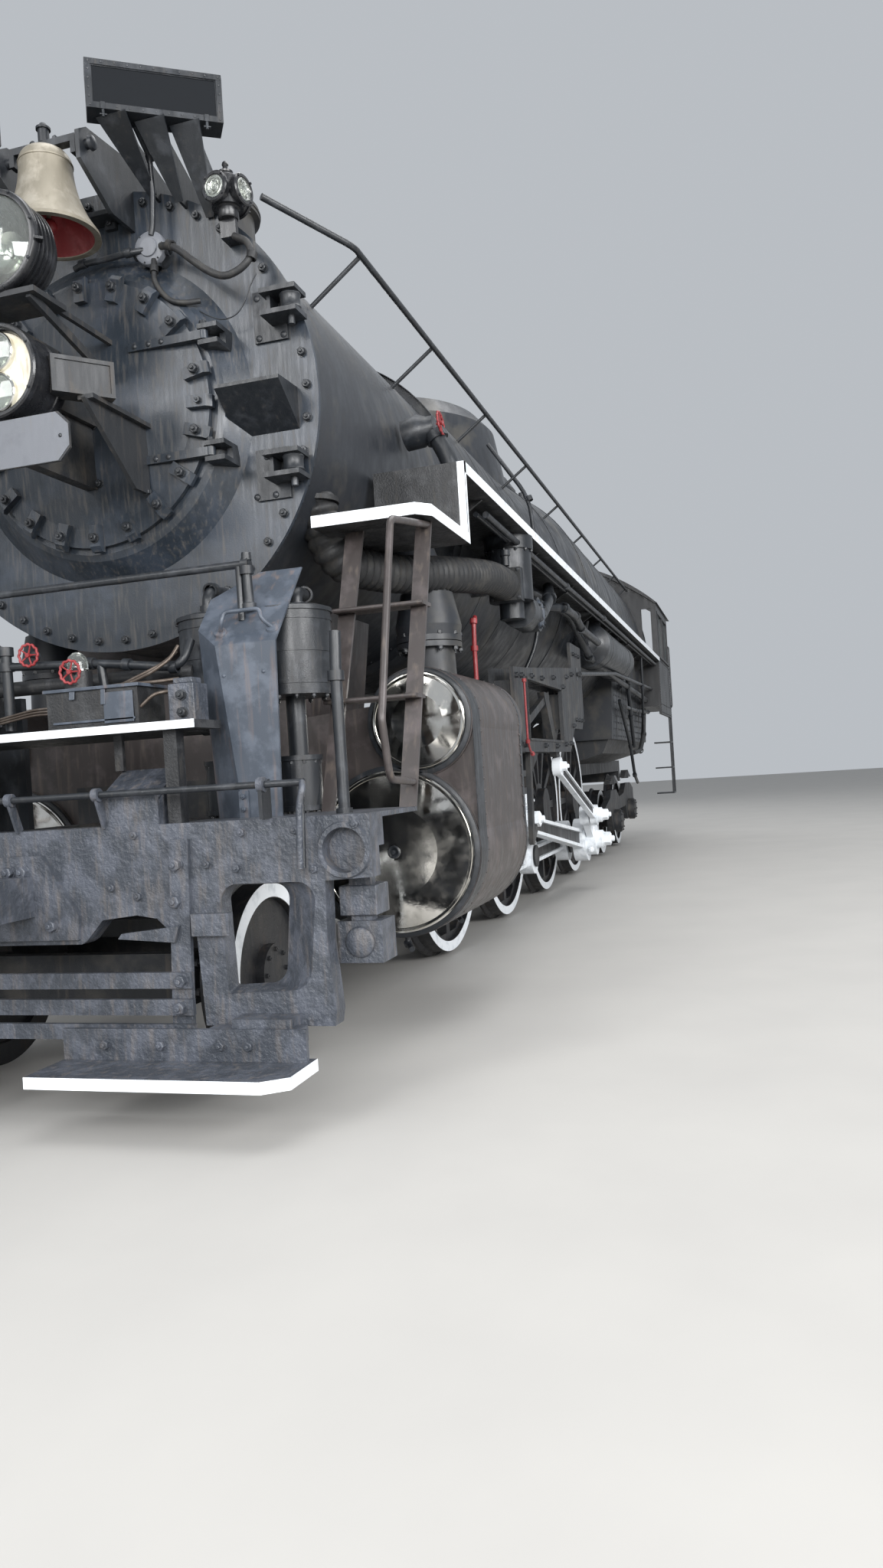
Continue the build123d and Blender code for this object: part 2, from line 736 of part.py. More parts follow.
def main_rod():
    y0, y1 = main_rod_inner, main_rod_outer
    along = Vector(wrist_x - main_pin_x, 0, cylinder_z - main_pin_z)
    length = along.length
    slope = degrees(atan2(along.Z, along.X))
    flat = Plane.XZ
    shank = make_face(Polyline((150, -95), (length - 110, -62), (length - 110, 62), (150, 95), close=True))
    flute = make_face(Polyline((240, -62), (length - 170, -36), (length - 170, 36), (240, 62), close=True))
    body = extrude(flat * shank, amount=46, both=True)
    groove = extrude(flat * flute, amount=60, both=True) - extrude(flat * flute, amount=14, both=True)
    big = extrude(flat * Circle(225), amount=(y1 - y0) / 2, both=True)
    small = extrude(flat * (Pos(length, 0) * Circle(135)), amount=62, both=True)
    bore = extrude(flat * (Pos(length, 0) * Circle(wrist_radius + 0.3)), amount=200, both=True)
    shape = body - groove + big + small - bore
    return Pos(main_pin_x, (y0 + y1) / 2, main_pin_z) * Rot(0, -slope, 0) * shape


eccentric_x = -3494
eccentric_z = 767
foot_x = -1560
foot_z = 1283


def bent_link(start, end, y0, y1, boss_a, boss_b, shank, flute=0.0):
    # Flat link with a boss at each end and an optional groove on both faces
    sx, sz = start
    ex, ez = end
    length = hypot(ex - sx, ez - sz)
    slope = degrees(atan2(ez - sz, ex - sx))
    flat = Plane.XZ
    half = (y1 - y0) / 2
    shape = extrude(flat * Circle(boss_a), amount=half, both=True)
    shape = shape + extrude(flat * (Pos(length, 0) * Circle(boss_b)), amount=half, both=True)
    middle = flat * (Pos(length / 2, 0) * Rectangle(length, shank))
    shape = shape + extrude(middle, amount=half * 0.7, both=True)
    if flute:
        clear = length - 2.6 * max(boss_a, boss_b)
        groove = flat * (Pos(length / 2, 0) * Rectangle(clear, shank - 2 * flute))
        core = extrude(groove, amount=half * 0.25, both=True)
        shape = shape - (extrude(groove, amount=half + 1, both=True) - core)
    return Pos(sx, (y0 + y1) / 2, sz) * Rot(0, -slope, 0) * shape


def eccentric_gear():
    # Return crank clamped on the main rod's end, then the eccentric rod forward to the gear
    main_pin, eccentric = (main_pin_x, main_pin_z), (eccentric_x, eccentric_z)
    crank = bent_link(main_pin, eccentric, main_rod_outer, 1335, 165, 95, 130)
    pin = round_y(48, 1335, 1345, *eccentric)
    link = bent_link(eccentric, (foot_x, foot_z), 1345, 1415, 105, 80, 110, 16)
    stem = round_y(75, 1415, 1460, *eccentric)
    nut = round_y(95, 1335, 1400, *main_pin)
    return crank + pin + link + stem + nut


def valve_gear():
    # Two side plates with a long window, spacers between them, and a hanger plate behind
    outline = [(290, 1400), (290, 1986), (-141, 2010), (-2190, 2165), (-2190, 1620), (-1900, 1406)]
    window = block(-1572, -141, gear_inner_y - 1, gear_outer_y + gear_plate + 1, 1500, 1928)
    hanger = [(-2190, 1620), (-2190, 2396), (-2770, 2396), (-2770, 1760), (-2640, 1620)]
    plates = [slab_xz(outline, y, y + gear_plate) - window for y in (gear_inner_y, gear_outer_y)]
    y0, y1 = gear_inner_y + gear_plate, gear_outer_y
    places = ((220, 1600, 1900), (-850, 1928, 1990), (-1640, 1600, 1900), (-2100, 1700, 2100))
    spacers = [block(x - 30, x + 30, y0, y1, low, high) for x, low, high in places]
    back = slab_yz([(bed_outer_y, 1330), (y1, 1700), (y1, 1900), (bed_outer_y, 1500)], -2770, -2710)
    arm = slab_xz([(foot_x - 70, foot_z + 83), (foot_x + 90, foot_z + 83), (-1060, 1890), (-1240, 1890)],
                  1340, 1396)
    return plates + spacers + [slab_xz(hanger, gear_outer_y, gear_outer_y + gear_plate), back, arm]


def motion_rods():
    # Valve stem, radius link, combination lever and union link
    y, z = valve_y, valve_z
    stem = round_x(34, -300, cylinder_rear_x - 60, y, z)
    stem = stem + block(-420, -300, y - 40, y + 40, z - 60, z + 60)
    lever = bar((-360, y + 50, z + 120), (wrist_x + 260, y + 30, cylinder_z - 170), 70, 36, (1, 0, 0))
    radius_link = bar((-360, y + 10, z + 30), (-1300, 1372, 1880), 60, 40, (0, 0, 1))
    foot, pin = (wrist_x + 270, y + 30, cylinder_z - 150), (wrist_x + 10, y + 10, cylinder_z - 60)
    union = bar(foot, pin, 60, 36, (0, 0, 1))
    return stem + lever + radius_link + union


guide_left = guide()
crosshead_left = crosshead()
gear_left = apart(*guide_left, *valve_gear())[len(guide_left):]
rods_left = clear_of(motion_rods(), [crosshead_left] + guide_left + gear_left)
save("crosshead_guides", *both_sides(guide_left))
save("crossheads", *left_right(crosshead_left))
save("main_rods", *left_right(main_rod()))
save("eccentric_rods", *left_right(eccentric_gear()))
save("valve_gear_frames", *both_sides(gear_left))
save("valve_rods", *left_right(rods_left))


# Wheelsets: an axle and two wheels pressed on it

rim_depth = 78


def wheel(radius, hub_radius, hub_face_y, axle_r, windows=0):
    # Tyre, rim, plate and hub in one turned outline, with windows through the plate
    rim = radius - rim_depth
    back, face = wheel_back_y, wheel_face_y
    plate_in, plate_out = back + 34, face - 34
    flange = radius + flange_height
    outline = [(axle_r, back - 30), (hub_radius, back - 30), (hub_radius, plate_in), (rim, plate_in),
               (rim, back), (flange, back + 4), (flange, back + 22), (radius, back + 42),
               (radius - 3, face), (rim, face), (rim, plate_out), (hub_radius, plate_out),
               (hub_radius, hub_face_y), (axle_r, hub_face_y)]
    shape = turned_y(outline, 0, 0)
    inner_r, outer_r = hub_radius + 60, rim - 50
    for i in range(windows):
        pitch = 360 / windows
        inner_turn, outer_turn = radians(0.31 * pitch), radians(0.39 * pitch)
        corners = [(inner_r * cos(inner_turn), -inner_r * sin(inner_turn)),
                   (outer_r * cos(outer_turn), -outer_r * sin(outer_turn)), (outer_r * 1.03, 0),
                   (outer_r * cos(outer_turn), outer_r * sin(outer_turn)),
                   (inner_r * cos(inner_turn), inner_r * sin(inner_turn))]
        opening = Rot(0, 0, pitch * (i + 0.5)) * make_face(Polyline(*corners, close=True))
        shape = shape - extrude(Plane.XZ * opening, amount=1000, both=True)
    return shape


def wheelset(x, radius, hub_radius, axle_r, journal_y):
    hub_face_y = wheel_face_y + 10
    axle = round_y(axle_r, -journal_y, journal_y, x, radius)
    return [axle] + left_right(Pos(x, 0, radius) * wheel(radius, hub_radius, hub_face_y, axle_r))


pin_radius = 75
main_pin_radius = 110
rod_boss_radius = 160
main_index = 2
driver_hub_radius = 190


def driver_wheel(side, angle, r, weight_depth):
    # One driving wheel with its crank web, pin and balance weight
    hub_face_y = wheel_face_y + 40
    px, pz = crank_radius * cos(radians(angle)), crank_radius * sin(radians(angle))
    pin_end = rod_plane_outer + 22
    shape = wheel(driver_radius, driver_hub_radius, hub_face_y, axle_radius, 12)
    shape = shape + round_y(r + 70, wheel_face_y - 60, hub_face_y, px, pz)
    shape = shape + bar((0, wheel_face_y + 10, 0), (px, wheel_face_y + 10, pz), 60, 300, (0, 1, 0))
    shape = shape + round_y(r, wheel_face_y, pin_end, px, pz)
    shape = shape + round_y(r + 24, rod_plane_outer + 6, pin_end, px, pz)
    # Balance weight: a segment of the rim opposite the pin
    y0, y1 = wheel_face_y - 90, wheel_face_y - 6
    disc = round_y(driver_radius - rim_depth - 1, y0, y1, 0, 0)
    shape = shape + (disc & (Rot(0, -angle, 0) * block(-1000, -weight_depth, y0, y1, -620, 620)))
    shape = shape - round_y(axle_radius, 0, hub_face_y + 1, 0, 0)
    return shape if side > 0 else mirror(shape, about=Plane.XZ)


def driver(index):
    # Axle and two wheels with crank pins a quarter turn apart
    r, weight_depth = (main_pin_radius, 520) if index == main_index else (pin_radius, 640)
    end = wheel_face_y + 40
    pieces = [round_y(axle_radius, -end, end, 0, 0)]
    for side, angle in ((1, crank_angle), (-1, crank_angle - 90)):
        pieces.append(driver_wheel(side, angle, r, weight_depth))
    return [Pos(driver_xs[index], 0, driver_z) * piece for piece in pieces]


for i in range(len(driver_xs)):
    save(f"driver_{i + 1}_wheelset", *driver(i))
save("lead_wheelset", *wheelset(lead_axle_x, lead_radius, 130, lead_axle_radius, wheel_face_y + 10))
save("trail_front_wheelset", *wheelset(trail_front_x, trail_front_radius, 130, trail_axle_radius, 1045))
save("trail_rear_wheelset", *wheelset(trail_rear_x, trail_rear_radius, 140, trail_axle_radius, 1045))


# Side rods: bossed and bored at each pin, with fluted shanks between the bosses

def side_rod(side, angle):
    px, pz = crank_radius * cos(radians(angle)), driver_z + crank_radius * sin(radians(angle))
    y0, y1 = rod_plane_inner, rod_plane_outer
    mid = (y0 + y1) / 2
    bosses, bores = [], []
    for i, x in enumerate(driver_xs):
        boss_r, pin_r = (210, main_pin_radius) if i == main_index else (rod_boss_radius, pin_radius)
        bosses.append(round_y(boss_r, y0, y1, x + px, pz))
        bores.append(round_y(pin_r + 1, y0 - 5, y1 + 5, x + px, pz))
    pieces = [boss - bore for boss, bore in zip(bosses, bores)]
    for i in range(3):
        x0, x1 = driver_xs[i + 1] + px, driver_xs[i] + px
        shank = block(x0, x1, mid - 38, mid + 38, pz - 78, pz + 78) - bosses[i] - bosses[i + 1]
        for low, high in ((mid + 14, mid + 40), (mid - 40, mid - 14)):
            shank = shank - block(x0 + 270, x1 - 220, low, high, pz - 48, pz + 48)
        pieces.append(shank)
    return pieces if side > 0 else [mirror(piece, about=Plane.XZ) for piece in pieces]


save("side_rod_left", *side_rod(1, crank_angle))
save("side_rod_right", *side_rod(-1, crank_angle - 90))


# Pilot: cast beam with arches and end legs, steps of flat bars, footboards

pocket_y = 1470
pocket_z = 1013
pocket_radius = 88
sill_z = 333
leg_outer_y = 1385
bracket_x = 3230


def rounded_yz(points, radii, x):
    # Closed outline in y and z with rounded corners, at one x
    return make_face(Plane.YZ.offset(x) * FilletPolyline(*points, radius=radii, close=True))


def pilot_beam():
    x1, x0 = beam_x, beam_x - beam_depth
    w = beam_half_width
    # One half: end block, leg, sill and the arch beside the coupler pocket
    y = leg_outer_y
    outline = [(0, beam_top_z), (w, beam_top_z), (w, beam_bottom_z), (y - 5, beam_bottom_z - 8),
               (y - 10, 661), (y + 10, 388), (y, sill_z), (830, sill_z), (812, 700), (700, 706), (637, 767),
               (544, 783), (382, 766), (302, 682), (276, 668), (0, 668)]
    half = slab_yz(outline, x0 + 60, x1) + block(x0, x0 + 60, 0, w, beam_top_z - 130, beam_top_z)
    # The window narrows toward the back
    front = rounded_yz([(938, 459), (1295, 475), (1345, 897), (925, 897)], [12, 90, 75, 75], x1 + 1)
    rear = rounded_yz([(938, 480), (1150, 490), (1190, 885), (925, 885)], [10, 70, 60, 60], x0 + 59)
    half = half - loft([front, rear], ruled=True)
    half = half - round_x(pocket_radius, x1 - 60, x1 + 1, pocket_y, pocket_z)
    r = pocket_radius
    ring = turned_x([(x1, r), (x1, r + 24), (x1 + 14, r + 18), (x1 + 14, r)], pocket_y, pocket_z)
    half = half + ring
    return half + mirror(half, about=Plane.XZ)


def beam_castings():
    # Brackets back from the beam, bent cover plates, end boxes and the inner clamps
    x1, x0 = beam_x, beam_x - beam_depth
    w = beam_half_width
    shelf = block(bracket_x, x0, 700, w, beam_top_z - 20, beam_top_z)
    shelf = shelf + block(3040, bracket_x, 1130, w, beam_top_z - 20, beam_top_z)
    box = block(x0 - 140, x0 + 20, 1367, 1554, 553, 719)
    hanger = block(x0 - 60, x0, 1420, 1510, 719, beam_top_z - 20)
    lip = slab_xz([(x1 - 7, beam_top_z), (x1 - 7, 1266), (x0 - 47, 1380), (x0 - 47, 1370), (x1 - 17, 1258),
                   (x1 - 17, beam_top_z)], 399, 669)
    low = beam_top_z
    gusset = slab_xz([(x1 - 20, low), (x1 - 20, 1250), (x0 - 40, 1360), (x0 - 40, low)], 659, 669)
    clamp = block(x1, x1 + 40, 811, 977, 698, 786)
    return [shelf, box, hanger, lip + gusset, clamp]


def pilot_steps():
    # Two leaning straps carry three slats; the cover plate ends by the coupler pocket
    x = beam_x
    shape = None
    for side in (-1, 1):
        strap = [(side * 725, 1085), (side * 809, 1085), (side * 781, 290), (side * 688, 290)]
        strap = slab_yz(strap, x, x + 22)
        shape = strap if shape is None else shape + strap
    for z in (523, 415, 315):
        shape = shape + block(x + 22, x + 44, -800, 800, z - 32, z + 32)
    for side in (-1, 1):
        step = [(side * 477, 693), (side * 494, 714), (side * 757, 740), (side * 734, 675)]
        shape = shape + slab_yz(step, x + 22, x + 43)
    return shape


riser_face_x = 3777
foot_front_x = 4035
foot_low_z = 179


def footboard():
    # Tread plate, riser and the boards' front tread, on an arm from the beam
    tread = block(beam_x + 44, riser_face_x, 900, 1290, 290, 349)
    riser = block(riser_face_x - 20, riser_face_x, 250, 1317, 225, 349)
    x0 = riser_face_x - 60
    x1, low = foot_front_x, foot_low_z
    board = slab_xy([(x0, 250), (x1, 250), (x1, 1240), (x1 - 70, 1332), (x0, 1332)], low, low + 46)
    arm = block(beam_x, riser_face_x - 20, 1000, 1250, sill_z, sill_z + 50)
    return tread + riser + board + arm


beam_solid = pilot_beam()
castings_left = [piece - beam_solid for piece in beam_castings()]
steps_solid = pilot_steps()
save("pilot_beam", beam_solid, *both_sides(castings_left))
save("pilot_steps", steps_solid)
save("footboards", *left_right(footboard() - steps_solid))


# Coupler: shank, head and knuckle at the middle of the beam, under a plain cover plate

coupler_z = 876


def coupler():
    x0 = beam_x
    cover = [(-123, 1045), (123, 1045), (285, 789), (276, 690), (-276, 690), (-285, 789)]
    cover = slab_yz(cover, x0, x0 + 24)
    shank = block(x0 + 24, x0 + 420, -75, 75, coupler_z - 85, coupler_z + 85)
    head = slab_xy([(x0 + 400, -120), (x0 + 520, -230), (x0 + 640, -250), (x0 + 640, -190), (x0 + 560, -110),
                    (x0 + 560, 90), (x0 + 640, 150), (x0 + 640, 215), (x0 + 520, 215), (x0 + 400, 120)],
                   coupler_z - 140, coupler_z + 140)
    knuckle = slab_xy([(x0 + 655, 60), (x0 + 740, 20), (coupler_face_x, 60), (coupler_face_x, 150),
                       (x0 + 700, 210), (x0 + 560, 210), (x0 + 560, 130), (x0 + 655, 130)],
                      coupler_z - 120, coupler_z + 120)
    return cover + shank + head + knuckle


save("front_coupler", coupler() - steps_solid)


# Front deck with its boxes, and the pump shields and pumps

def front_deck():
    plate_part = block(3060, beam_x, -deck_half_width, deck_half_width, deck_z - 34, deck_z)
    for side in (-1, 1):
        plate_part = plate_part - block(3000, 3420, side * 690, side * 900, 0, 3000)
    posts = [block(3460, 3480, side * 380, side * 420, 1380, deck_z - 34) for side in (-1, 1)]
    posts += [block(3540, 3600, side * 690, side * 750, beam_top_z, deck_z - 34) for side in (-1, 1)]
    lamp_box = block(3350, 3560, 120, 560, deck_z, deck_z + 170)
    header = round_y(34, -650, 650, 3230, 1800)
    for y in (-600, 0, 600):
        header = header + round_z(26, deck_z, 1800, 3230, y)
    return [plate_part, lamp_box, round_z(60, deck_z + 170, deck_z + 260, 3440, 200), header] + posts


shield_x = 3400
shield_top_x = 3100
shield_knee_z = 1880
shield_rise = 350
shield_thick = 12


def pump_shield():
    # Three flat faces folded from one sheet: front, inner bevel and sloping top
    def slope_z(x):
        return shield_knee_z + (shield_x - x) * shield_rise / (shield_x - shield_top_x)
    foot, knee = (shield_x, 931, beam_top_z), (shield_x, 845, shield_knee_z)
    front = [foot, (shield_x, 1104, beam_top_z), (shield_x, 1123, shield_knee_z), knee]
    top_z = slope_z(shield_top_x)
    top = [knee, front[2], (shield_top_x, 1134, top_z), (shield_top_x, 934, top_z)]
    # The bevel turns back from the front's inner edge
    back_x, turn = shield_x - 70, 101
    share = (slope_z(back_x) - shield_knee_z) / (shield_knee_z - beam_top_z)
    corner = (back_x, knee[1] - turn + share * (knee[1] - foot[1]), slope_z(back_x))
    reach = 1.82
    bevel = [foot, knee, corner, (shield_x - reach * 70, foot[1] - reach * turn, beam_top_z)]
    top += [(shield_x - 200, corner[1], slope_z(shield_x - 200)), corner]
    return [plate(outline, shield_thick, (-1, 0, 0)) for outline in (front, bevel, top)]


pump_x = 3075
pump_ys = (700, 1055)
jacket_radius = 178


def air_pump():
    # Cross-compound pump: steam pair above, air pair below, on one bracket
    shape = None
    for y in pump_ys:
        column = round_z(jacket_radius, 1690, 2030, pump_x, y)
        column = column + round_z(jacket_radius + 6, 1665, 1690, pump_x, y)
        column = column + round_z(44, 1400, 1665, pump_x, y)
        column = column + round_z(96, 1180, 1380, pump_x, y)
        column = column + round_z(104, 1380, 1402, pump_x, y) + round_z(104, 1158, 1180, pump_x, y)
        shape = column if shape is None else shape + column
    y0, y1 = pump_ys
    shape = shape + block(pump_x - 60, pump_x + 60, y0, y1, 1700, 2020)
    shape = shape + block(pump_x - 60, pump_x + 60, y0, y1, 1190, 1370)
    shape = shape + block(pump_x - 70, pump_x + 60, y0 - 60, y1 + 80, 2030, 2067)
    # Bracket back to the bed's front extension
    bracket = block(2800, pump_x - 60, y0 - 90, y0 + 90, 1740, 1800)
    bracket = bracket + block(2800, 2840, 560, 790, 1010, 1800)
    bracket = bracket + block(2640, 2840, front_rail_y + front_rail_half, 600, 1010, 1110)
    return shape + bracket


pump_left = air_pump()
deck_solids = [piece - pump_left - mirror(pump_left, about=Plane.XZ) for piece in front_deck()]
deck_solids = [clear_of(piece, both_sides(castings_left)) for piece in deck_solids]
shield_left = [piece - pump_left - deck_solids[0] for piece in pump_shield()]
save("front_deck", *deck_solids)
save("pump_shields", *both_sides(apart(*shield_left)))
save("air_pumps", *left_right(pump_left))


# Running boards, ladders and rails

board_inner_y = 1120


def running_boards():
    # High and low board, the riser between them and brackets from the boiler side
    high = block(cab_front_x, riser_x, board_inner_y, board_edge_y, board_z - board_depth, board_z)
    low_z = low_board_z - low_board_depth
    low = block(riser_x, low_board_front_x, 1053, board_edge_y, low_z, low_board_z)
    x1, edge = low_board_front_x + 1, board_edge_y + 1
    low = low - slab_xy([(x1 - 76, edge), (x1, edge), (x1, edge - 61)], 0, 3000)
    riser = block(riser_x - 14, riser_x, board_inner_y, board_edge_y, low_z, board_z - board_depth)
    under = board_z - board_depth
    pieces = [high, low, riser, block(2300, 2324, 900, 1100, low_z, low_board_z)]
    for x in (1400, -300, -1900, -3500, -5000, -6600, -8000, -9400):
        bracket = [(900, under), (board_edge_y - 60, under), (1150, under - 270), (900, under - 270)]
        pieces.append(slab_yz(bracket, x - 12, x + 12))
    return [piece - smokebox_solid - barrel_solid - firebox_solid for piece in apart(*pieces)]


boards_left = running_boards()
save("running_boards", *both_sides(boards_left))


def ladder():
    # Two flat-bar stiles that face forward, two treads and a foot, and a bent tube beside them
    low_z, edge = low_board_z - low_board_depth, beam_half_width
    outer_top, outer_foot = (2577, edge - 23, low_z + 7), (3095, edge - 23, beam_top_z - 5)
    inner_top, inner_foot = (2560, 1198, low_z + 7), (3118, 1195, beam_top_z - 5)
    pieces = [bar(outer_top, outer_foot, 76, 16, (0, 1, 0))]
    pieces.append(wedge(inner_top, inner_foot, 92, 60, 16, (0, 1, 0)))
    for x, z in ((2736, 2070), (2915, 1635)):
        pieces.append(block(x - 60, x + 60, 1150, edge + 15, z - 9, z + 9))
    trim_low = block(2000, 4000, 1000, 1800, beam_top_z - 200, beam_top_z)
    trim_high = block(2000, 4000, 1000, 1800, low_z, low_board_z + 200)
    tube_y = edge - 3
    line = ((2600, low_z - 16), (3148, 2377), (3422, 1514), (3365, 1272), (3060, 1255))
    tube = pipe([(x, tube_y, z) for x, z in line], 16, 60)
    return apart(*[piece - trim_low - trim_high for piece in pieces], tube)


save("front_ladders", *both_sides(ladder()))

rail_x = 3300
rail_z = 2229
boiler_rail_y = 1195
boiler_rail_z = 3985


def handrails():
    # Cross rail over the pumps, uncoupling lever, and long rails on posts along the boiler
    items = []
    cross = round_y(17, -985, 985, rail_x, rail_z)
    for side in (-1, 1):
        cross = cross + rod((rail_x, side * 930, 1990), (rail_x, side * 930, rail_z), 15)
    items.append(seat(cross, *both_sides(shield_left)))
    lever_x, lever_z = beam_x + 40, 1283
    lever = round_y(14, -1338, 1338, lever_x, lever_z)
    for side in (-1, 1):
        lever = lever + block(beam_x - 20, beam_x + 62, side * 1150, side * 1166, beam_top_z, lever_z + 21)
        lever = lever + rod((lever_x, side * 1325, lever_z), (lever_x + 30, side * 1325, 955), 11)
    items.append(lever)
    for side in (-1, 1):
        y, z = side * boiler_rail_y, boiler_rail_z
        rail = pipe([(-9700, y, z), (2300, y, z), (2700, side * 880, z + 125)], 17, 120)
        for x in (2200, 900, -500, -2000, -3600, -5200, -6800, -8200, -9500):
            rail = rail + rod((x, 0.5 * y, z - 430), (x, y, z), 12)
        items.append(seat(rail, barrel_solid, firebox_solid, smokebox_solid, front_solid))
    return items


save("handrails", *handrails())


# Domes and the fittings on top of the boiler

def dome(x, half_length, half_width, top_z, saddle):
    # Oval sections that draw in toward a flat crown; the saddle draws in from its foot already
    low_z = boiler_z + 700
    shoulder = top_z - 200
    steps = [(low_z, 1, 1), (shoulder, 1 - 0.03 * saddle, 1 - 0.14 * saddle),
             (top_z - 60, 0.90, 0.82 - 0.1 * saddle), (top_z, 0.68, 0.52)]
    shape = None
    for (z0, long0, wide0), (z1, long1, wide1) in zip(steps, steps[1:]):
        low = Pos(0, 0, z0) * Ellipse(long0 * half_length, wide0 * half_width)
        high = Pos(0, 0, z1) * Ellipse(long1 * half_length, wide1 * half_width)
        ring = loft([low, high], ruled=True)
        shape = ring if shape is None else shape + ring
    return Pos(x, 0, 0) * shape - barrel_solid - firebox_solid


save("sand_dome", dome(-2500, 1000, 900, 4700, 1))
save("steam_dome", dome(-4700, 560, 520, 4700, 0))


def top_fittings():
    items = []
    for x in (-7000, -7300):
        for y in (-230, 0, 230):
            valve = round_z(60, 4300, 4560, x, y) + round_z(44, 4560, 4650, x, y)
            items.append(seat(valve, firebox_solid, barrel_solid))
    whistle = round_z(55, 4250, 4500, -5600, 420) + round_z(40, 4500, 4680, -5600, 420)
    items.append(seat(whistle, barrel_solid))
    turret = block(-9700, -9250, -450, 450, 4250, 4560)
    items.append(seat(turret, firebox_solid))
    return items


save("top_fittings", *top_fittings())


# Pipes, pump and reservoirs along the sides

hot_pump_x = 300
hot_pump_y = 1470
hot_pump_radius = 150
volute_x = -100
pipe_z = 2510
lagging_radius = 98


def hot_water_pump():
    # Upright casing with flanges and the volute behind it
    x, y, r = hot_pump_x, hot_pump_y, hot_pump_radius
    shape = round_z(r, 2420, 2760, x, y) + round_z(r + 16, 2760, board_z - board_depth, x, y)
    shape = shape + round_x(122, volute_x, x - 100, y + 20, 2376) + round_z(84, 2300, 2420, x, y)
    shape = shape + round_y(122, y - 20, y + 110, volute_x, 2376)
    shape = shape + block(x - 60, x + 60, 1180, y, 2520, 2640)
    flange = block(x + 100, x + r + 34, y - 110, y + 110, pipe_z - 110, pipe_z + 110)
    return shape + flange - barrel_solid


def lagged_pipe():
    # Elbow down from the smokebox, then back to the pump under the low board
    end_x = hot_pump_x + hot_pump_radius + 34
    path = [(2480, 960, 2700), (2440, 1030, 2370), (2050, 1190, 2360), (1450, 1400, 2430), (900, 1470, 2495),
            (end_x, 1470, pipe_z)]
    return pipe(path, lagging_radius, 150) - smokebox_solid - cylinder_left


steam_pipe_x = 1600
steam_pipe_y = 1255
steam_pipe_radius = 130


def steam_pipes():
    # Outside steam pipe from the smokebox down to the valve chest, with a bolted joint
    x, y = steam_pipe_x, steam_pipe_y
    elbow = pipe([(x, 800, 2760), (x, 1130, 2690), (x, y, 2350), (x, y + 20, 1700)], steam_pipe_radius, 190)
    joint = round_z(185, 2030, 2062, x, y) + round_z(185, 1995, 2025, x, y)
    collar = turned_z([(0, 2062), (180, 2062), (190, 2120), (150, 2310), (0, 2310)], x, y)
    return elbow + joint + collar - smokebox_solid - cylinder_left


def air_reservoir():
    # Drum with dished ends, hung under the running board
    x0, x1, y, z, r = -6500, -3900, 1345, 2560, 235
    tank = turned_x([(x0, 0), (x0 + 20, 120), (x0 + 90, r), (x1 - 90, r), (x1 - 20, 120), (x1, 0)], y, z)
    for x in (x0 + 500, x1 - 500):
        tank = tank + block(x - 30, x + 30, y - 100, y + 100, z + r - 40, board_z - board_depth)
    return clear_of(tank, boards_left) - barrel_solid - firebox_solid


hot_left = clear_of(hot_water_pump(), boards_left)
steam_left = clear_of(steam_pipes(), boards_left)
lagged_left = clear_of(lagged_pipe(), boards_left + [hot_left, steam_left])
save("hot_water_pump", hot_left)
save("lagged_pipe", lagged_left)
save("steam_pipes", *left_right(steam_left))
save("air_reservoirs", *left_right(air_reservoir()))


# Cab: floor, walls built of sill panels, pillars and headers round the windows, and an arched roof

cab_side_window_z = (2960, 3640)
cab_pillars = ((0, 180), (1000, 1180), (1920, 2100))
front_door_y = (1385, 1530)


def roof_face(inset):
    # Arch of three arcs from eave to eave, closed straight across
    w, eave = cab_half_width - inset, cab_eave_z
    left = ThreePointArc((w, eave), (1148 - inset, 4110 - inset), (700, 4362 - inset))
    crown = ThreePointArc((700, 4362 - inset), (0, 4590 - inset), (-700, 4362 - inset))
    right = ThreePointArc((-700, 4362 - inset), (-1148 + inset, 4110 - inset), (-w, eave))
    return Plane.YZ * make_face([left, crown, right, Polyline((-w, eave), (w, eave))])


def cab_body():
    x0, x1 = cab_rear_x + cab_overhang, cab_front_x
    w, low, eave = cab_half_width, cab_floor_z, cab_eave_z
    sill, head = cab_side_window_z
    pieces = [block(x0, x1, cab_wall - w, w - cab_wall, low - cab_wall, low)]
    for side in (-1, 1):
        y0, y1 = side * w, side * (w - cab_wall)
        pieces.append(block(x0, x1, y0, y1, cab_low_z, sill))
        pieces.append(block(x0, x1, y0, y1, head, eave))
        for start, end in cab_pillars:
            pieces.append(block(x0 + start, x0 + end, y0, y1, sill, head))
        # Front wall beside the firebox, with a narrow door
        inner, outer = (side * y for y in front_door_y)
        back = x1 - cab_wall
        pieces.append(block(back, x1, 0, side * (w - cab_wall), low, 2860))
        pieces.append(block(back, x1, 0, inner, 2860, eave))
        pieces.append(block(back, x1, outer, side * (w - cab_wall), 2860, eave))
        pieces.append(block(back, x1, inner, outer, 3700, eave))
    return [piece - firebox_solid for piece in pieces]


def cab_roof():
    # Arched sheet over the cab and its gangway, with a front board above the eaves
    x0, x1 = cab_rear_x, cab_front_x + 60
    outer = Pos(x0, 0, 0) * extrude(roof_face(-30), amount=x1 - x0)
    inner = Pos(x0 - 1, 0, 0) * extrude(roof_face(10), amount=x1 - x0 + 2)
    board = Pos(cab_front_x - cab_wall, 0, 0) * extrude(roof_face(10), amount=cab_wall)
    return [outer - inner, board - firebox_solid]


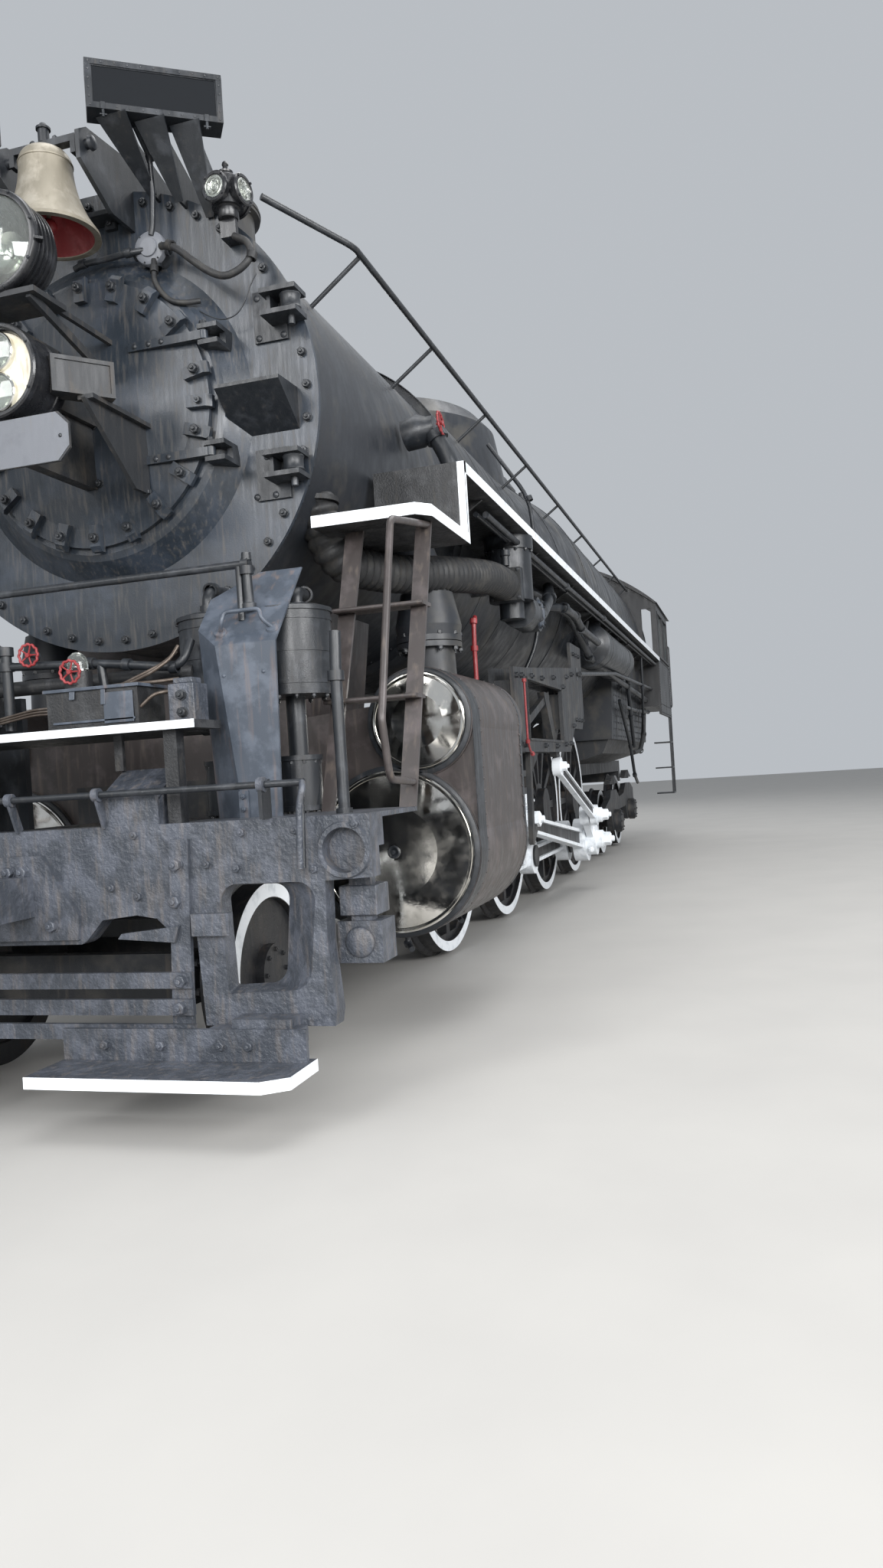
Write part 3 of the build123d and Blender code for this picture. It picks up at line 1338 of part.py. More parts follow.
def cab_inside():
    # Backhead with its fire door, gauges and throttle, and two seats
    back = round_x(260, backhead_x - 60, backhead_x, 0, cab_floor_z + 560)
    gauges = block(backhead_x - 70, backhead_x, -500, 500, 3500, 3800)
    throttle = rod((backhead_x - 60, 420, 3600), (backhead_x - 260, 620, 3150), 16)
    items = [back, gauges + throttle]
    for side in (-1, 1):
        y0, y1 = side * 1050, side * 1520
        low = cab_floor_z
        items.append(block(backhead_x - 850, backhead_x - 400, y0, y1, low, low + 580))
        items.append(block(backhead_x - 910, backhead_x - 850, y0, y1, low + 440, low + 960))
    return items


save("cab_body", *cab_body())
save("cab_roof", *cab_roof())
save("cab_fittings", *cab_inside())


# Ash pan, brakes and trucks

def ash_pan():
    pan = [(-1170, firebox_bottom_z), (1170, firebox_bottom_z), (1080, 1420), (430, 1255), (-430, 1255),
           (-1080, 1420)]
    pan = slab_yz(pan, backhead_x + 200, firebox_front_x - 100)
    hopper = slab_yz([(-420, 1255), (420, 1255), (300, 800), (-300, 800)], -7350, -6700)
    return [seat(pan, *bed), seat(hopper, *bed)]


def brake_rigging():
    # Shoe behind each driving wheel on a hanger from the bed
    items = []
    y0, y1 = wheel_back_y + 46, wheel_face_y - 8
    hanger_y, z = (y0 + y1) / 2, driver_z
    for x in driver_xs:
        hanger_x = x - driver_spacing / 2
        arc = turned_y([(driver_radius + 8, y0), (driver_radius + 50, y0), (driver_radius + 50, y1),
                        (driver_radius + 8, y1)], x, driver_z)
        shoe = arc & block(x - 1000, x - 500, y0 - 1, y1 + 1, driver_z - 620, driver_z - 300)
        hanger = block(hanger_x - 11, hanger_x + 11, hanger_y - 30, hanger_y + 30, z - 420, z + 190)
        link = bar((hanger_x, hanger_y, z - 390), (x - 790, hanger_y, z - 450), 50, 40, (0, 1, 0))
        pin = round_y(24, bed_outer_y, y1, hanger_x, driver_z + 190)
        items += left_right(shoe + hanger + link + pin)
    return items


def lead_truck():
    # Inside frame round the axle, a bolster over it and a radius bar back to the pivot
    x, y0, y1 = lead_axle_x, 480, 560
    low, high, bolster_z = 330, 560, 620
    bore = round_y(lead_axle_radius + running_gap, -y1 - 40, y1 + 40, x, lead_radius)
    sides = [block(x - 330, x + 300, side * y0, side * y1, low, high) for side in (-1, 1)]
    ends = [block(x - 330, x - 260, -y0, y0, low, high), block(x + 230, x + 300, -y0, y0, low, high)]
    risers = [block(x - 160, x + 160, side * y0, side * y1, high, bolster_z) for side in (-1, 1)]
    bolster = block(x - 160, x + 160, -y1, y1, bolster_z, 700)
    centre = round_z(150, 700, 800, x, 0)
    ring = round_z(110, 380, 520, truck_pivot_x, 0)
    bars = left_right(bar((x - 300, 420, 445), (truck_pivot_x, 40, 445), 90, 60, (0, 0, 1)))
    pin_hole = round_z(41, 300, 600, truck_pivot_x, 0)
    pieces = sides + risers + apart(*ends, ring, *bars)
    return [piece - bore - pin_hole for piece in pieces] + [bolster, centre]


def trailing_truck():
    # Outside-bearing delta frame over both axles
    xf, xr = trail_front_x, trail_rear_x
    front = trail_pivot_x - 500
    outline = [(front, 640), (xf + 420, 800), (xf + 300, 900), (xf - 300, 900), (xf - 600, 780),
               (xr + 620, 820), (xr + 300, 960), (xr - 300, 960), (xr - 690, 860), (xr - 690, 640),
               (xr - 260, 400), (xr + 260, 400), (xr + 420, 620), (xf - 420, 600), (xf - 230, 330),
               (xf + 230, 330), (xf + 420, 560), (front, 520)]
    inner, outer = 930, 1010
    side_frame = slab_xz(outline, inner, outer)
    for x, z in ((xf, trail_front_radius), (xr, trail_rear_radius)):
        side_frame = side_frame + round_y(165, outer, outer + 80, x, z)
        side_frame = side_frame - round_y(trail_axle_radius + running_gap, inner - 30, outer + 50, x, z)
    front_bar = block(xf + 560, xf + 640, -inner, inner, 560, 680)
    rear_bar = block(xr - 690, xr - 600, -inner, inner, 660, 840)
    ring = round_z(130, 560, 690, trail_pivot_x, 0)
    bars = left_right(bar((xf + 620, 700, 620), (trail_pivot_x, 80, 620), 110, 90, (0, 0, 1)))
    pin_hole = round_z(46, 500, 800, trail_pivot_x, 0)
    front_pieces = [piece - pin_hole for piece in apart(front_bar, ring, *bars)]
    return left_right(side_frame) + front_pieces + [rear_bar]


save("ash_pan", *ash_pan())
save("brake_rigging", *brake_rigging())
save("lead_truck_frame", *lead_truck())
save("trailing_truck_frame", *trailing_truck())
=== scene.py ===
import math

import bmesh
import bpy
import numpy as np
from mathutils import Matrix, Vector


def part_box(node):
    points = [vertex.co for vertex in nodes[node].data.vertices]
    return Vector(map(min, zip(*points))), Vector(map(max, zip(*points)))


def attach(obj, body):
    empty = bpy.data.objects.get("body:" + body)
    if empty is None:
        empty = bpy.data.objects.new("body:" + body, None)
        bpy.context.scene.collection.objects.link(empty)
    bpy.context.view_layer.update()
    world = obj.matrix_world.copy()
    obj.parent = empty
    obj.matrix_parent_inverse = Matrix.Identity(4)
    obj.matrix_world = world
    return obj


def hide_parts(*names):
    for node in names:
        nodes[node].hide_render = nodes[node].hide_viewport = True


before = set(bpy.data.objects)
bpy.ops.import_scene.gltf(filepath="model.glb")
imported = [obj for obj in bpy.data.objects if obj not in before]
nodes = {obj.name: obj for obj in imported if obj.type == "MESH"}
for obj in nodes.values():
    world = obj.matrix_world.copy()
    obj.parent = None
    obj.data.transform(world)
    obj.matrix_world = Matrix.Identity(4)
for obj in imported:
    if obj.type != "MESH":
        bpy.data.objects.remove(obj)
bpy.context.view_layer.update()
print("frame loaded,", len(nodes), "nodes")

# Places are in millimetres from the first driving axle and the rail head, as on the drawing
wheelLow, wheelHigh = (np.array(corner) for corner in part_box("driver_1_wheelset"))
flangeDepth = 28.0
frameShift = np.array([500 * (wheelLow[0] + wheelHigh[0]), 0.0, 1000 * wheelLow[2] + flangeDepth])
ahead, leftward, skyward = (1, 0, 0), (0, 1, 0), (0, 0, 1)
door = "smokebox_door"


def fullTurn(count):
    return np.linspace(0, 2 * np.pi, count, endpoint=False)


def gridFaces(rows, columns, wrapRows=False, wrapColumns=False):
    # Quads between neighbouring points of a rows by columns grid
    r = np.arange(rows if wrapRows else rows - 1)[:, None]
    c = np.arange(columns if wrapColumns else columns - 1)[None, :]
    nextRow, nextColumn = (r + 1) % rows, (c + 1) % columns
    return np.stack([r * columns + c, r * columns + nextColumn,
                     nextRow * columns + nextColumn, nextRow * columns + c], -1).reshape(-1, 4)


def axesFor(direction):
    # Two unit vectors square to each direction, so that side x up = direction
    d = np.asarray(direction, float).reshape(-1, 3)
    d = d / np.linalg.norm(d, axis=1, keepdims=True)
    helper = np.where(np.abs(d[:, 2:3]) < 0.9, [[0, 0, 1.0]], [[1.0, 0, 0]])
    side = np.cross(helper, d)
    side /= np.linalg.norm(side, axis=1, keepdims=True)
    return side, np.cross(d, side), d


def turned(profile, centre, axis=ahead, sides=32):
    # Profile of (along, radius) carried round the axis: centre + along*axis + radius*(cos a*side + sin a*up)
    profile = np.asarray(profile, float)
    side, up, d = (v[0] for v in axesFor(axis))
    a = fullTurn(sides)
    ring = np.cos(a)[:, None] * side + np.sin(a)[:, None] * up
    points = np.asarray(centre, float) + profile[:, 0][:, None, None] * d + profile[:, 1][:, None, None] * ring
    return points.reshape(-1, 3), [gridFaces(len(profile), sides, wrapColumns=True)]


def band(low, high, inner, outer):
    # Profile of a square-edged ring
    return [(low, inner), (low, outer), (high, outer), (high, inner)]


def thickened(curve, shift):
    # Closed profile between a curve and the same curve moved
    return np.vstack([curve, curve[::-1] + shift, curve[:1]])


def smoothLine(points, steps=6):
    # Catmull-Rom line: each run is the cubic whose end slopes are half the way between its neighbours
    p = np.asarray(points, float)
    p = np.vstack([2 * p[0] - p[1], p, 2 * p[-1] - p[-2]])
    t = np.linspace(0, 1, steps, endpoint=False)[None, :, None]
    a, b, c, d = (p[i:len(p) - 3 + i][:, None, :] for i in range(4))
    runs = 0.5 * (2 * b + (c - a) * t + (2 * a - 5 * b + 4 * c - d) * t**2 + (3 * b - a - 3 * c + d) * t**3)
    return np.vstack([runs.reshape(-1, 3), p[-2]])


def bentLine(points, bend, steps=5):
    # Straight runs whose corners are the parabola (1-t)^2 a + 2t(1-t) corner + t^2 b
    p = np.asarray(points, float)
    t = np.linspace(0, 1, steps)[:, None]
    runs = [p[:1]]
    for before, corner, after in zip(p, p[1:], p[2:]):
        a, b = (corner + (end - corner) * min(bend / np.linalg.norm(end - corner), 0.48)
                for end in (before, after))
        runs.append((1 - t) ** 2 * a + 2 * t * (1 - t) * corner + t**2 * b)
    return np.vstack(runs + [p[-1:]])


def spacedAlong(line, spacing, first=0):
    # Points every spacing along a line, and how far along each is
    length = np.concatenate([[0], np.cumsum(np.linalg.norm(np.diff(line, axis=0), axis=1))])
    at = np.arange(first, length[-1], spacing)
    return np.stack([np.interp(at, length, column) for column in line.T], -1), at


def tube(line, radius, sides=10, closed=False):
    # Circle of the given radius carried along the line, its axes kept from twisting
    line = np.asarray(line, float)
    slope = np.roll(line, -1, 0) - np.roll(line, 1, 0) if closed else np.gradient(line, axis=0)
    slope /= np.linalg.norm(slope, axis=1, keepdims=True)
    side = np.zeros_like(line)
    side[0] = axesFor(slope[0])[0][0]
    for i in range(1, len(line)):
        side[i] = side[i - 1] - slope[i] * (side[i - 1] @ slope[i])
        side[i] /= np.linalg.norm(side[i])
    up = np.cross(slope, side)
    a = fullTurn(sides)[None, :, None]
    r = np.broadcast_to(np.asarray(radius, float), (len(line),))[:, None, None]
    points = line[:, None, :] + r * (np.cos(a) * side[:, None, :] + np.sin(a) * up[:, None, :])
    faces = [gridFaces(len(line), sides, wrapRows=closed, wrapColumns=True)]
    if not closed:
        faces += [np.arange(sides)[None, ::-1], (len(line) - 1) * sides + np.arange(sides)[None]]
    return points.reshape(-1, 3), faces


def slab(outline, origin, across, upward, depth):
    # Flat outline (u, v) set at origin + u*across + v*upward, and given a depth along across x upward
    outline = np.asarray(outline, float)
    across, upward = np.asarray(across, float), np.asarray(upward, float)
    flat = np.asarray(origin, float) + outline[:, :1] * across + outline[:, 1:] * upward
    n = np.arange(len(outline))
    after = (n + 1) % len(n)
    sideFaces = np.stack([n, after, after + len(n), n + len(n)], -1)
    return np.vstack([flat, flat + depth * np.cross(across, upward)]), [sideFaces, n[None, ::-1], n[None] + len(n)]


def oblong(u0, u1, v0, v1):
    return [(u0, v0), (u1, v0), (u1, v1), (u0, v1)]


def brick(x0, x1, y0, y1, z0, z1):
    # Straight block between two corners
    return slab(oblong(x0, x1, y0, y1), (0, 0, z0), ahead, leftward, z1 - z0)


def beam(start, end, width, thick, flatTowards):
    # Flat bar from start to end, its thickness towards flatTowards
    start, end, face = (np.asarray(v, float) for v in (start, end, flatTowards))
    along = (end - start) / np.linalg.norm(end - start)
    across = np.cross(face, along)
    across /= np.linalg.norm(across)
    half = oblong(-width / 2, width / 2, -thick / 2, thick / 2)
    return slab(half, start, across, np.cross(along, across), np.linalg.norm(end - start))


def hoop(rows):
    # Closed strip through four long rows of points, capped at both ends
    count = rows.shape[1]
    ends = count * np.arange(4)[None]
    return rows.reshape(-1, 3), [gridFaces(4, count, wrapRows=True), ends, ends[:, ::-1] + count - 1]


def joined(parts):
    # Several shapes as one
    if isinstance(parts, tuple):
        return parts
    points, faces, start = [], [], 0
    for shape, groups in parts:
        points.append(shape)
        faces += [g + start for g in groups]
        start += len(shape)
    return np.vstack(points), faces


def repeated(shape, places, directions, sizes=1.0, spins=0.0):
    # A shape drawn on +z set at every place, its z along the direction there
    base, groups = shape
    places = np.asarray(places, float).reshape(-1, 3)
    count = len(places)
    side, up, out = axesFor(np.broadcast_to(np.asarray(directions, float), (count, 3)))
    spin = np.broadcast_to(np.asarray(spins, float), (count,))[:, None]
    turnedSide = np.cos(spin) * side + np.sin(spin) * up
    turnedUp = -np.sin(spin) * side + np.cos(spin) * up
    size = np.broadcast_to(np.asarray(sizes, float), (count,))[:, None, None]
    shaped = (base[None, :, :1] * turnedSide[:, None] + base[None, :, 1:2] * turnedUp[:, None]
              + base[None, :, 2:] * out[:, None])
    steps = (np.arange(count) * len(base))[:, None, None]
    points = places[:, None, :] + size * shaped
    return points.reshape(-1, 3), [(g[None] + steps).reshape(-1, g.shape[1]) for g in groups]


def mirrored(shape):
    # The same shape on the engine's other side
    points, groups = shape
    return points * [1, -1, 1], [g[:, ::-1] for g in groups]


def hexShape(washer=1.35, stud=0.5):
    # Hexagonal nut of across-flats 2 on a washer, with the stud's end above it
    a = fullTurn(12)
    hexagon = 1 / np.cos((a + np.pi / 6) % (np.pi / 3) - np.pi / 6)
    rings = [(0, washer, 0), (0.18, washer, 0), (0.2, 1, 1), (1.25, 1, 1), (1.4, 0.86, 0.4), (1.4, stud, 0),
             (1.85, stud, 0), (1.95, 0.7 * stud, 0), (1.95, 0, 0)]
    z, r, share = (np.array(v, float)[:, None] for v in zip(*rings))
    radius = r * (share * hexagon + 1 - share)
    points = np.stack([radius * np.cos(a), radius * np.sin(a), np.broadcast_to(z, radius.shape)], -1)
    return points.reshape(-1, 3), [gridFaces(len(rings), 12, wrapColumns=True)]


def domeShape(rings=4, sides=10, height=0.62):
    # Round rivet head of radius 1
    t, a = np.linspace(0, np.pi / 2, rings)[:, None], fullTurn(sides)[None]
    points = np.stack([np.cos(t) * np.cos(a), np.cos(t) * np.sin(a), height * np.sin(t) + 0 * a], -1)
    return points.reshape(-1, 3), [gridFaces(rings, sides, wrapColumns=True)]


hexNut, rivet = hexShape(), domeShape()


def nutsAt(places, direction, size):
    return repeated(hexNut, places, direction, size)


def circleOf(centre, radius, count, axis="x"):
    # Evenly spaced points round a circle square to an axis
    a = np.radians(np.arange(count) * 360 / count)
    c, s, zero = radius * np.cos(a), radius * np.sin(a), 0 * a
    ring = {"x": [zero, c, s], "y": [c, zero, s], "z": [c, s, zero]}[axis]
    return np.asarray(centre, float) + np.stack(ring, -1)


def clockPlaces(x, z, radius, angles):
    # Points at angles from the top towards the engine's left: y = r sin a, z = r cos a
    a = np.radians(np.asarray(angles, float))
    return np.stack([np.full(len(a), float(x)), radius * np.sin(a), z + radius * np.cos(a)], -1)


def leftRight(x, places):
    # Each (y, z) on both sides of the engine
    return [(x, side * y, z) for y, z in places for side in (1, -1)]


def circleThrough(p, q, s):
    # Centre and radius of the circle through three points of a plane
    (ax, ay), (bx, by), (cx, cy) = p, q, s
    d = 2 * (ax * (by - cy) + bx * (cy - ay) + cx * (ay - by))
    a, b, c = ax**2 + ay**2, bx**2 + by**2, cx**2 + cy**2
    ux = (a * (by - cy) + b * (cy - ay) + c * (ay - by)) / d
    uy = (a * (cx - bx) + b * (ax - cx) + c * (bx - ax)) / d
    return (ux, uy), math.hypot(ax - ux, ay - uy)


def ringed(points, radius, places, bend=30, wide=16, extra=7):
    # Pipe along a bent line, with a short collar at each of the numbered points
    points = np.asarray(points, float)
    shapes = [tube(bentLine(points, bend), radius, 12)]
    for i in places:
        step = points[min(i + 1, len(points) - 1)] - points[max(i - 1, 0)]
        shapes.append(turned(band(-wide, wide, radius, radius + extra), points[i], step, 12))
    return joined(shapes)


def handwheel(centre, axis, radius, rim=8, spokes=5):
    # Scalloped rim r (1 + 0.05 cos 12a), straight spokes and a hub
    centre = np.asarray(centre, float)
    side, up, d = (v[0] for v in axesFor(axis))
    a = fullTurn(72)
    r = radius * (1 + 0.05 * np.cos(12 * a))
    circle = centre + (r * np.cos(a))[:, None] * side + (r * np.sin(a))[:, None] * up
    hub = [(-26, 0), (-26, rim), (-8, rim), (-8, 1.7 * rim), (10, 1.7 * rim), (10, 0)]
    shapes = [tube(circle, rim, 8, closed=True), turned(hub, centre, d, 12)]
    for turn in 2 * np.pi * np.arange(spokes) / spokes:
        end = centre + radius * (math.cos(turn) * side + math.sin(turn) * up)
        shapes.append(tube([centre, end], 0.62 * rim, 6))
    return joined(shapes)


# Gaps closed and slivers dissolved, in metres; bevels on edges sharper than an angle in degrees
meshLook = {"seam": 2e-5, "sliver": 1e-6, "bevelSteps": 2, "bevelAngle": 40}


def addPiece(name, shape, finish="fittingBlack", body="engine", soften=0.0, sharp=34):
    # Puts a shape, or a list of shapes, into the frame as a mesh, closes its seams and turns its faces outwards
    points, groups = joined(shape)
    mesh = bpy.data.meshes.new(name)
    mesh.vertices.add(len(points))
    mesh.vertices.foreach_set("co", ((points + frameShift) / 1000).astype(np.float32).ravel())
    totals = np.concatenate([np.full(len(g), g.shape[1]) for g in groups])
    corners = np.concatenate([np.asarray(g).ravel() for g in groups]).astype(np.int32)
    mesh.loops.add(len(corners))
    mesh.loops.foreach_set("vertex_index", corners)
    mesh.polygons.add(len(totals))
    mesh.polygons.foreach_set("loop_start", (np.cumsum(totals) - totals).astype(np.int32))
    mesh.update(calc_edges=True)
    mesh.validate()
    work = bmesh.new()
    work.from_mesh(mesh)
    bmesh.ops.remove_doubles(work, verts=work.verts, dist=meshLook["seam"])
    bmesh.ops.dissolve_degenerate(work, edges=work.edges, dist=meshLook["sliver"])
    bmesh.ops.recalc_face_normals(work, faces=work.faces)
    work.to_mesh(mesh)
    work.free()
    mesh.polygons.foreach_set("use_smooth", np.ones(len(mesh.polygons), bool))
    mesh.set_sharp_from_angle(angle=math.radians(sharp))
    piece = bpy.data.objects.new(name, mesh)
    bpy.context.scene.collection.objects.link(piece)
    mesh.materials.append(finishes[finish])
    if soften:
        bevel = piece.modifiers.new("softEdges", "BEVEL")
        bevel.width, bevel.segments, bevel.limit_method = soften / 1000, meshLook["bevelSteps"], "ANGLE"
        bevel.angle_limit = math.radians(meshLook["bevelAngle"])
        bevel.harden_normals = True
    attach(piece, body)
    return piece


def addPair(name, shape, *args, **options):
    # The same on both sides of the engine, as one piece
    shape = joined(shape)
    addPiece(name, [shape, mirrored(shape)], *args, **options)


def addNuts(name, places, direction, size, finish="fittingBlack", body="engine"):
    # Hex nuts on washers, each turned a little differently
    addPiece(name, repeated(hexNut, places, direction, size, np.arange(len(places)) * 0.7), finish, body)


def addRivets(name, places, direction, size, finish="fittingBlack", body="engine"):
    addPiece(name, repeated(rivet, places, direction, size), finish, body)


def linearColour(code):
    # sRGB hex to linear light: a straight part below 0.04045, the 2.4 power above
    values = [int(code[i:i + 2], 16) / 255 for i in (1, 3, 5)]
    return [v / 12.92 if v <= 0.04045 else ((v + 0.055) / 1.055) ** 2.4 for v in values] + [1.0]


def feedNode(tree, node, settings, links):
    # Settings go to the sockets, or else to the node itself; a node as a source stands for its first output
    for key, value in settings.items():
        if isinstance(key, int) or key in node.inputs:
            node.inputs[key].default_value = value
        else:
            setattr(node, key, value)
    for key, source in links.items():
        tree.links.new(source.outputs[0] if hasattr(source, "outputs") else source, node.inputs[key])
    return node


def addNode(tree, kind, settings={}, links={}):
    return feedNode(tree, tree.nodes.new(kind), settings, links)


finishes, finishSlots = {}, {}


def newFinish(name, slot=None):
    # A material kept under its name, with its tree, its shader and the object's own coordinates
    material = bpy.data.materials.new(name)
    material.use_nodes = True
    finishes[name], finishSlots[name] = material, slot
    tree = material.node_tree
    return tree, tree.nodes["Principled BSDF"], addNode(tree, "ShaderNodeTexCoord").outputs["Object"]


# What all paints share: how fine and rough each noise is, how softly the masks end, where gloss is read
noiseLook = {"patches": {"Detail": 7.0, "Roughness": 0.62}, "streaks": {"Detail": 5.0, "Roughness": 0.55},
             "grain": {"Detail": 4.0, "Roughness": 0.6}, "wornFade": 0.14, "dustAndSheenFade": 0.22,
             "glossFrom": 0.35, "glossTo": 0.68, "coatRoughness": 0.12}


def paintedMetal(name, look):
    # Paint over steel or iron: worn patches, hanging streaks (grime, and on the front enamel partly a painted
    # highlight), a fine grain and a slow waviness
    tree, shader, place = newFinish(name, look["slot"])
    noise, spread, mix, bump = "ShaderNodeTexNoise", "ShaderNodeMapRange", "ShaderNodeMix", "ShaderNodeBump"
    colours = {key: linearColour(look[key]) for key in ("paint", "worn", "dustAndSheen")}
    patches = addNode(tree, noise, {"Scale": 1000 / look["patchMm"], **noiseLook["patches"]}, {"Vector": place})
    wornMask = addNode(tree, spread, {"From Min": look["wornFrom"], "To Max": look["wornMost"],
                                      "From Max": look["wornFrom"] + noiseLook["wornFade"]}, {"Value": patches})
    hanging = addNode(tree, "ShaderNodeMapping", {"Scale": (1.0, 1.0, look["streakStretch"])},
                      {"Vector": place})
    streaks = addNode(tree, noise, {"Scale": 1000 / look["streakMm"], **noiseLook["streaks"]},
                      {"Vector": hanging})
    # The streak mask lays the third colour: hanging grime on most paints, and on the front enamel partly a painted
    # highlight of warm glints
    dustAndSheenMask = addNode(tree, spread, {"From Min": look["dustAndSheenFrom"], "To Max": look["dustAndSheenMost"],
                                      "From Max": look["dustAndSheenFrom"] + noiseLook["dustAndSheenFade"]}, {"Value": streaks})
    painted = addNode(tree, mix, {"data_type": "RGBA", 6: colours["paint"], 7: colours["worn"]}, {0: wornMask})
    dustAndSheenLayer = addNode(tree, mix, {"data_type": "RGBA", 7: colours["dustAndSheen"]}, {0: dustAndSheenMask, 6: painted.outputs[2]})
    grain = addNode(tree, noise, {"Scale": 1000 / look["grainMm"], **noiseLook["grain"]}, {"Vector": place})
    gloss = addNode(tree, spread, {"From Min": noiseLook["glossFrom"], "From Max": noiseLook["glossTo"],
                                   "To Min": look["smooth"], "To Max": look["rough"]}, {"Value": streaks})
    waves = addNode(tree, bump, {"Strength": 1.0, "Distance": look["waveMm"] / 1000}, {"Height": patches})
    relief = addNode(tree, bump, {"Strength": 1.0, "Distance": look["reliefMm"] / 1000},
                     {"Height": grain, "Normal": waves})
    feedNode(tree, shader, {"Metallic": look["metallic"], "Coat Weight": look["coat"],
                            "Coat Roughness": noiseLook["coatRoughness"]},
             {"Base Color": dustAndSheenLayer.outputs[2], "Roughness": gloss, "Normal": relief})


# What each finish is, with colours as seen in daylight and sizes in millimetres, in the order of these columns
paintColumns = ("slot", "paint", "worn", "dustAndSheen", "patchMm", "wornFrom", "wornMost", "streakMm", "dustAndSheenFrom",
                "dustAndSheenMost", "grainMm", "reliefMm", "smooth", "rough", "streakStretch", "waveMm",
                "coat", "metallic")
paints = {
    # Brushed oil-based black enamel on sheet steel, dulled by weather
    "jacketBlack": ("black_jacket", "#24272c", "#413f3b", "#6f665b", 420, 0.52, 0.8, 110, 0.56, 0.08,
                    5, 0.5, 0.30, 0.56, 0.5, 0.6, 0, 0),
    # Thick glossy enamel on the flat front plate, blue-black, with tan streaks that are partly grime and partly a
    # painted highlight of warm glints
    "frontEnamel": ("front_black", "#22282f", "#343b45", "#6f675c", 300, 0.47, 0.7, 20, 0.52, 0.3,
                    7, 0.6, 0.28, 0.5, 0.1, 0.7, 0.08, 0),
    # Paint on rough steel castings: the sand-mould grain shows through, drawn coarse enough to be seen
    "castGrey": ("cast_grey", "#3a3e45", "#52565f", "#766d65", 110, 0.45, 0.75, 30, 0.52, 0.4,
                 20, 6.5, 0.3, 0.52, 0.14, 0.6, 0, 0),
    # Frames and rigging: dull black over forgings
    "frameBlack": ("frame_black", "#26282b", "#403e3b", "#695e52", 210, 0.50, 0.8, 50, 0.55, 0.4,
                   6, 0.8, 0.42, 0.65, 0.14, 0.6, 0, 0),
    # Small iron castings and forgings, thick paint with soft highlights
    "fittingBlack": ("fitting_black", "#1f2226", "#3b3e43", "#625a51", 120, 0.52, 0.7, 30, 0.6, 0.3,
                     5, 0.7, 0.28, 0.5, 0.14, 0.6, 0, 0),
    # Shield sheets: thin blue-grey paint rubbed to brown
    "shieldGrey": ("sheet_grey", "#3c434d", "#565d68", "#80695a", 120, 0.46, 0.7, 42, 0.56, 0.55,
                   4, 0.4, 0.34, 0.55, 0.08, 0.6, 0, 0),
    # Cylinder jackets and ladder bars: brown-grey film on rolled steel
    "jacketBrown": ("brown_grey", "#3b3635", "#575050", "#776b60", 200, 0.5, 0.7, 36, 0.55, 0.4,
                    4, 0.35, 0.30, 0.5, 0.1, 0.6, 0, 0),
    # White gloss paint on rods and edges, chipped to grey
    "rodWhite": ("rod_white", "#e2e6ea", "#c3c9cf", "#6d6a66", 90, 0.52, 0.9, 16, 0.66, 0.75,
                 5, 0.35, 0.28, 0.5, 0.14, 0.6, 0, 0),
    # Wheel centres, spokes and axles
    "wheelBlack": ("wheel_black", "#1b1c1f", "#302e2c", "#5a4a3c", 160, 0.52, 0.8, 60, 0.56, 0.45,
                   8, 1.2, 0.38, 0.62, 0.14, 0.6, 0, 0),
    # Running boards: black steel, greyed by feet
    "boardBlack": ("board_black", "#1f2022", "#3b3c3e", "#59544d", 130, 0.5, 0.8, 30, 0.56, 0.4,
                   10, 2.2, 0.36, 0.6, 0.14, 0.6, 0, 0),
    # Cab sides and roof
    "cabBlack": ("cab_black", "#1a1b1e", "#2b2b2c", "#4d4740", 380, 0.54, 0.7, 70, 0.58, 0.3,
                 5, 0.4, 0.34, 0.56, 0.14, 0.6, 0, 0),
    # Spiral-wound lagging tape under black bitumen paint
    "laggingTape": ("lagging", "#1d1e20", "#343331", "#4f483f", 110, 0.5, 0.8, 40, 0.56, 0.4,
                    6, 1.4, 0.48, 0.72, 0.14, 0.6, 0, 0),
    # Lamp casings: stove enamel
    "lampBlack": ("lamp_black", "#191a1d", "#303237", "#4c4741", 90, 0.54, 0.6, 26, 0.6, 0.3,
                  4, 0.4, 0.22, 0.42, 0.14, 0.6, 0.2, 0),
    # Grey paint on the blank plate and the junction box
    "plateGrey": ("lamp_black", "#63666c", "#585b61", "#6d6862", 120, 0.52, 0.6, 20, 0.6, 0.4,
                  4, 0.3, 0.34, 0.5, 0.14, 0.6, 0, 0),
    # Cream paint inside the signal lamp, stained by rust
    "lampCream": ("lamp_black", "#dcd6c6", "#cfc3a8", "#8a6f4e", 50, 0.5, 0.8, 18, 0.56, 0.6,
                  4, 0.4, 0.34, 0.5, 0.14, 0.6, 0, 0),
    # Oxide red on valve wheels and the bell's inside
    "oxideRed": ("fitting_black", "#7f2629", "#974447", "#4c2e2b", 70, 0.5, 0.7, 24, 0.58, 0.5,
                 4, 0.4, 0.35, 0.6, 0.14, 0.6, 0, 0),
    # Cast bell bronze gone grey-tan, lightly polished on its waist
    "bellBronze": ("bell_metal", "#857f72", "#a09a8e", "#625b50", 120, 0.48, 0.8, 24, 0.6, 0.45,
                   3, 0.15, 0.4, 0.58, 0.14, 0.6, 0, 0.45),
    # Thin copper lines, brown with age
    "oldCopper": ("fitting_black", "#5a514a", "#787069", "#3c352f", 60, 0.5, 0.7, 20, 0.55, 0.5,
                  3, 0.2, 0.35, 0.55, 0.14, 0.6, 0, 0.7),
}
for finishName, row in paints.items():
    paintedMetal(finishName, dict(zip(paintColumns, row)))


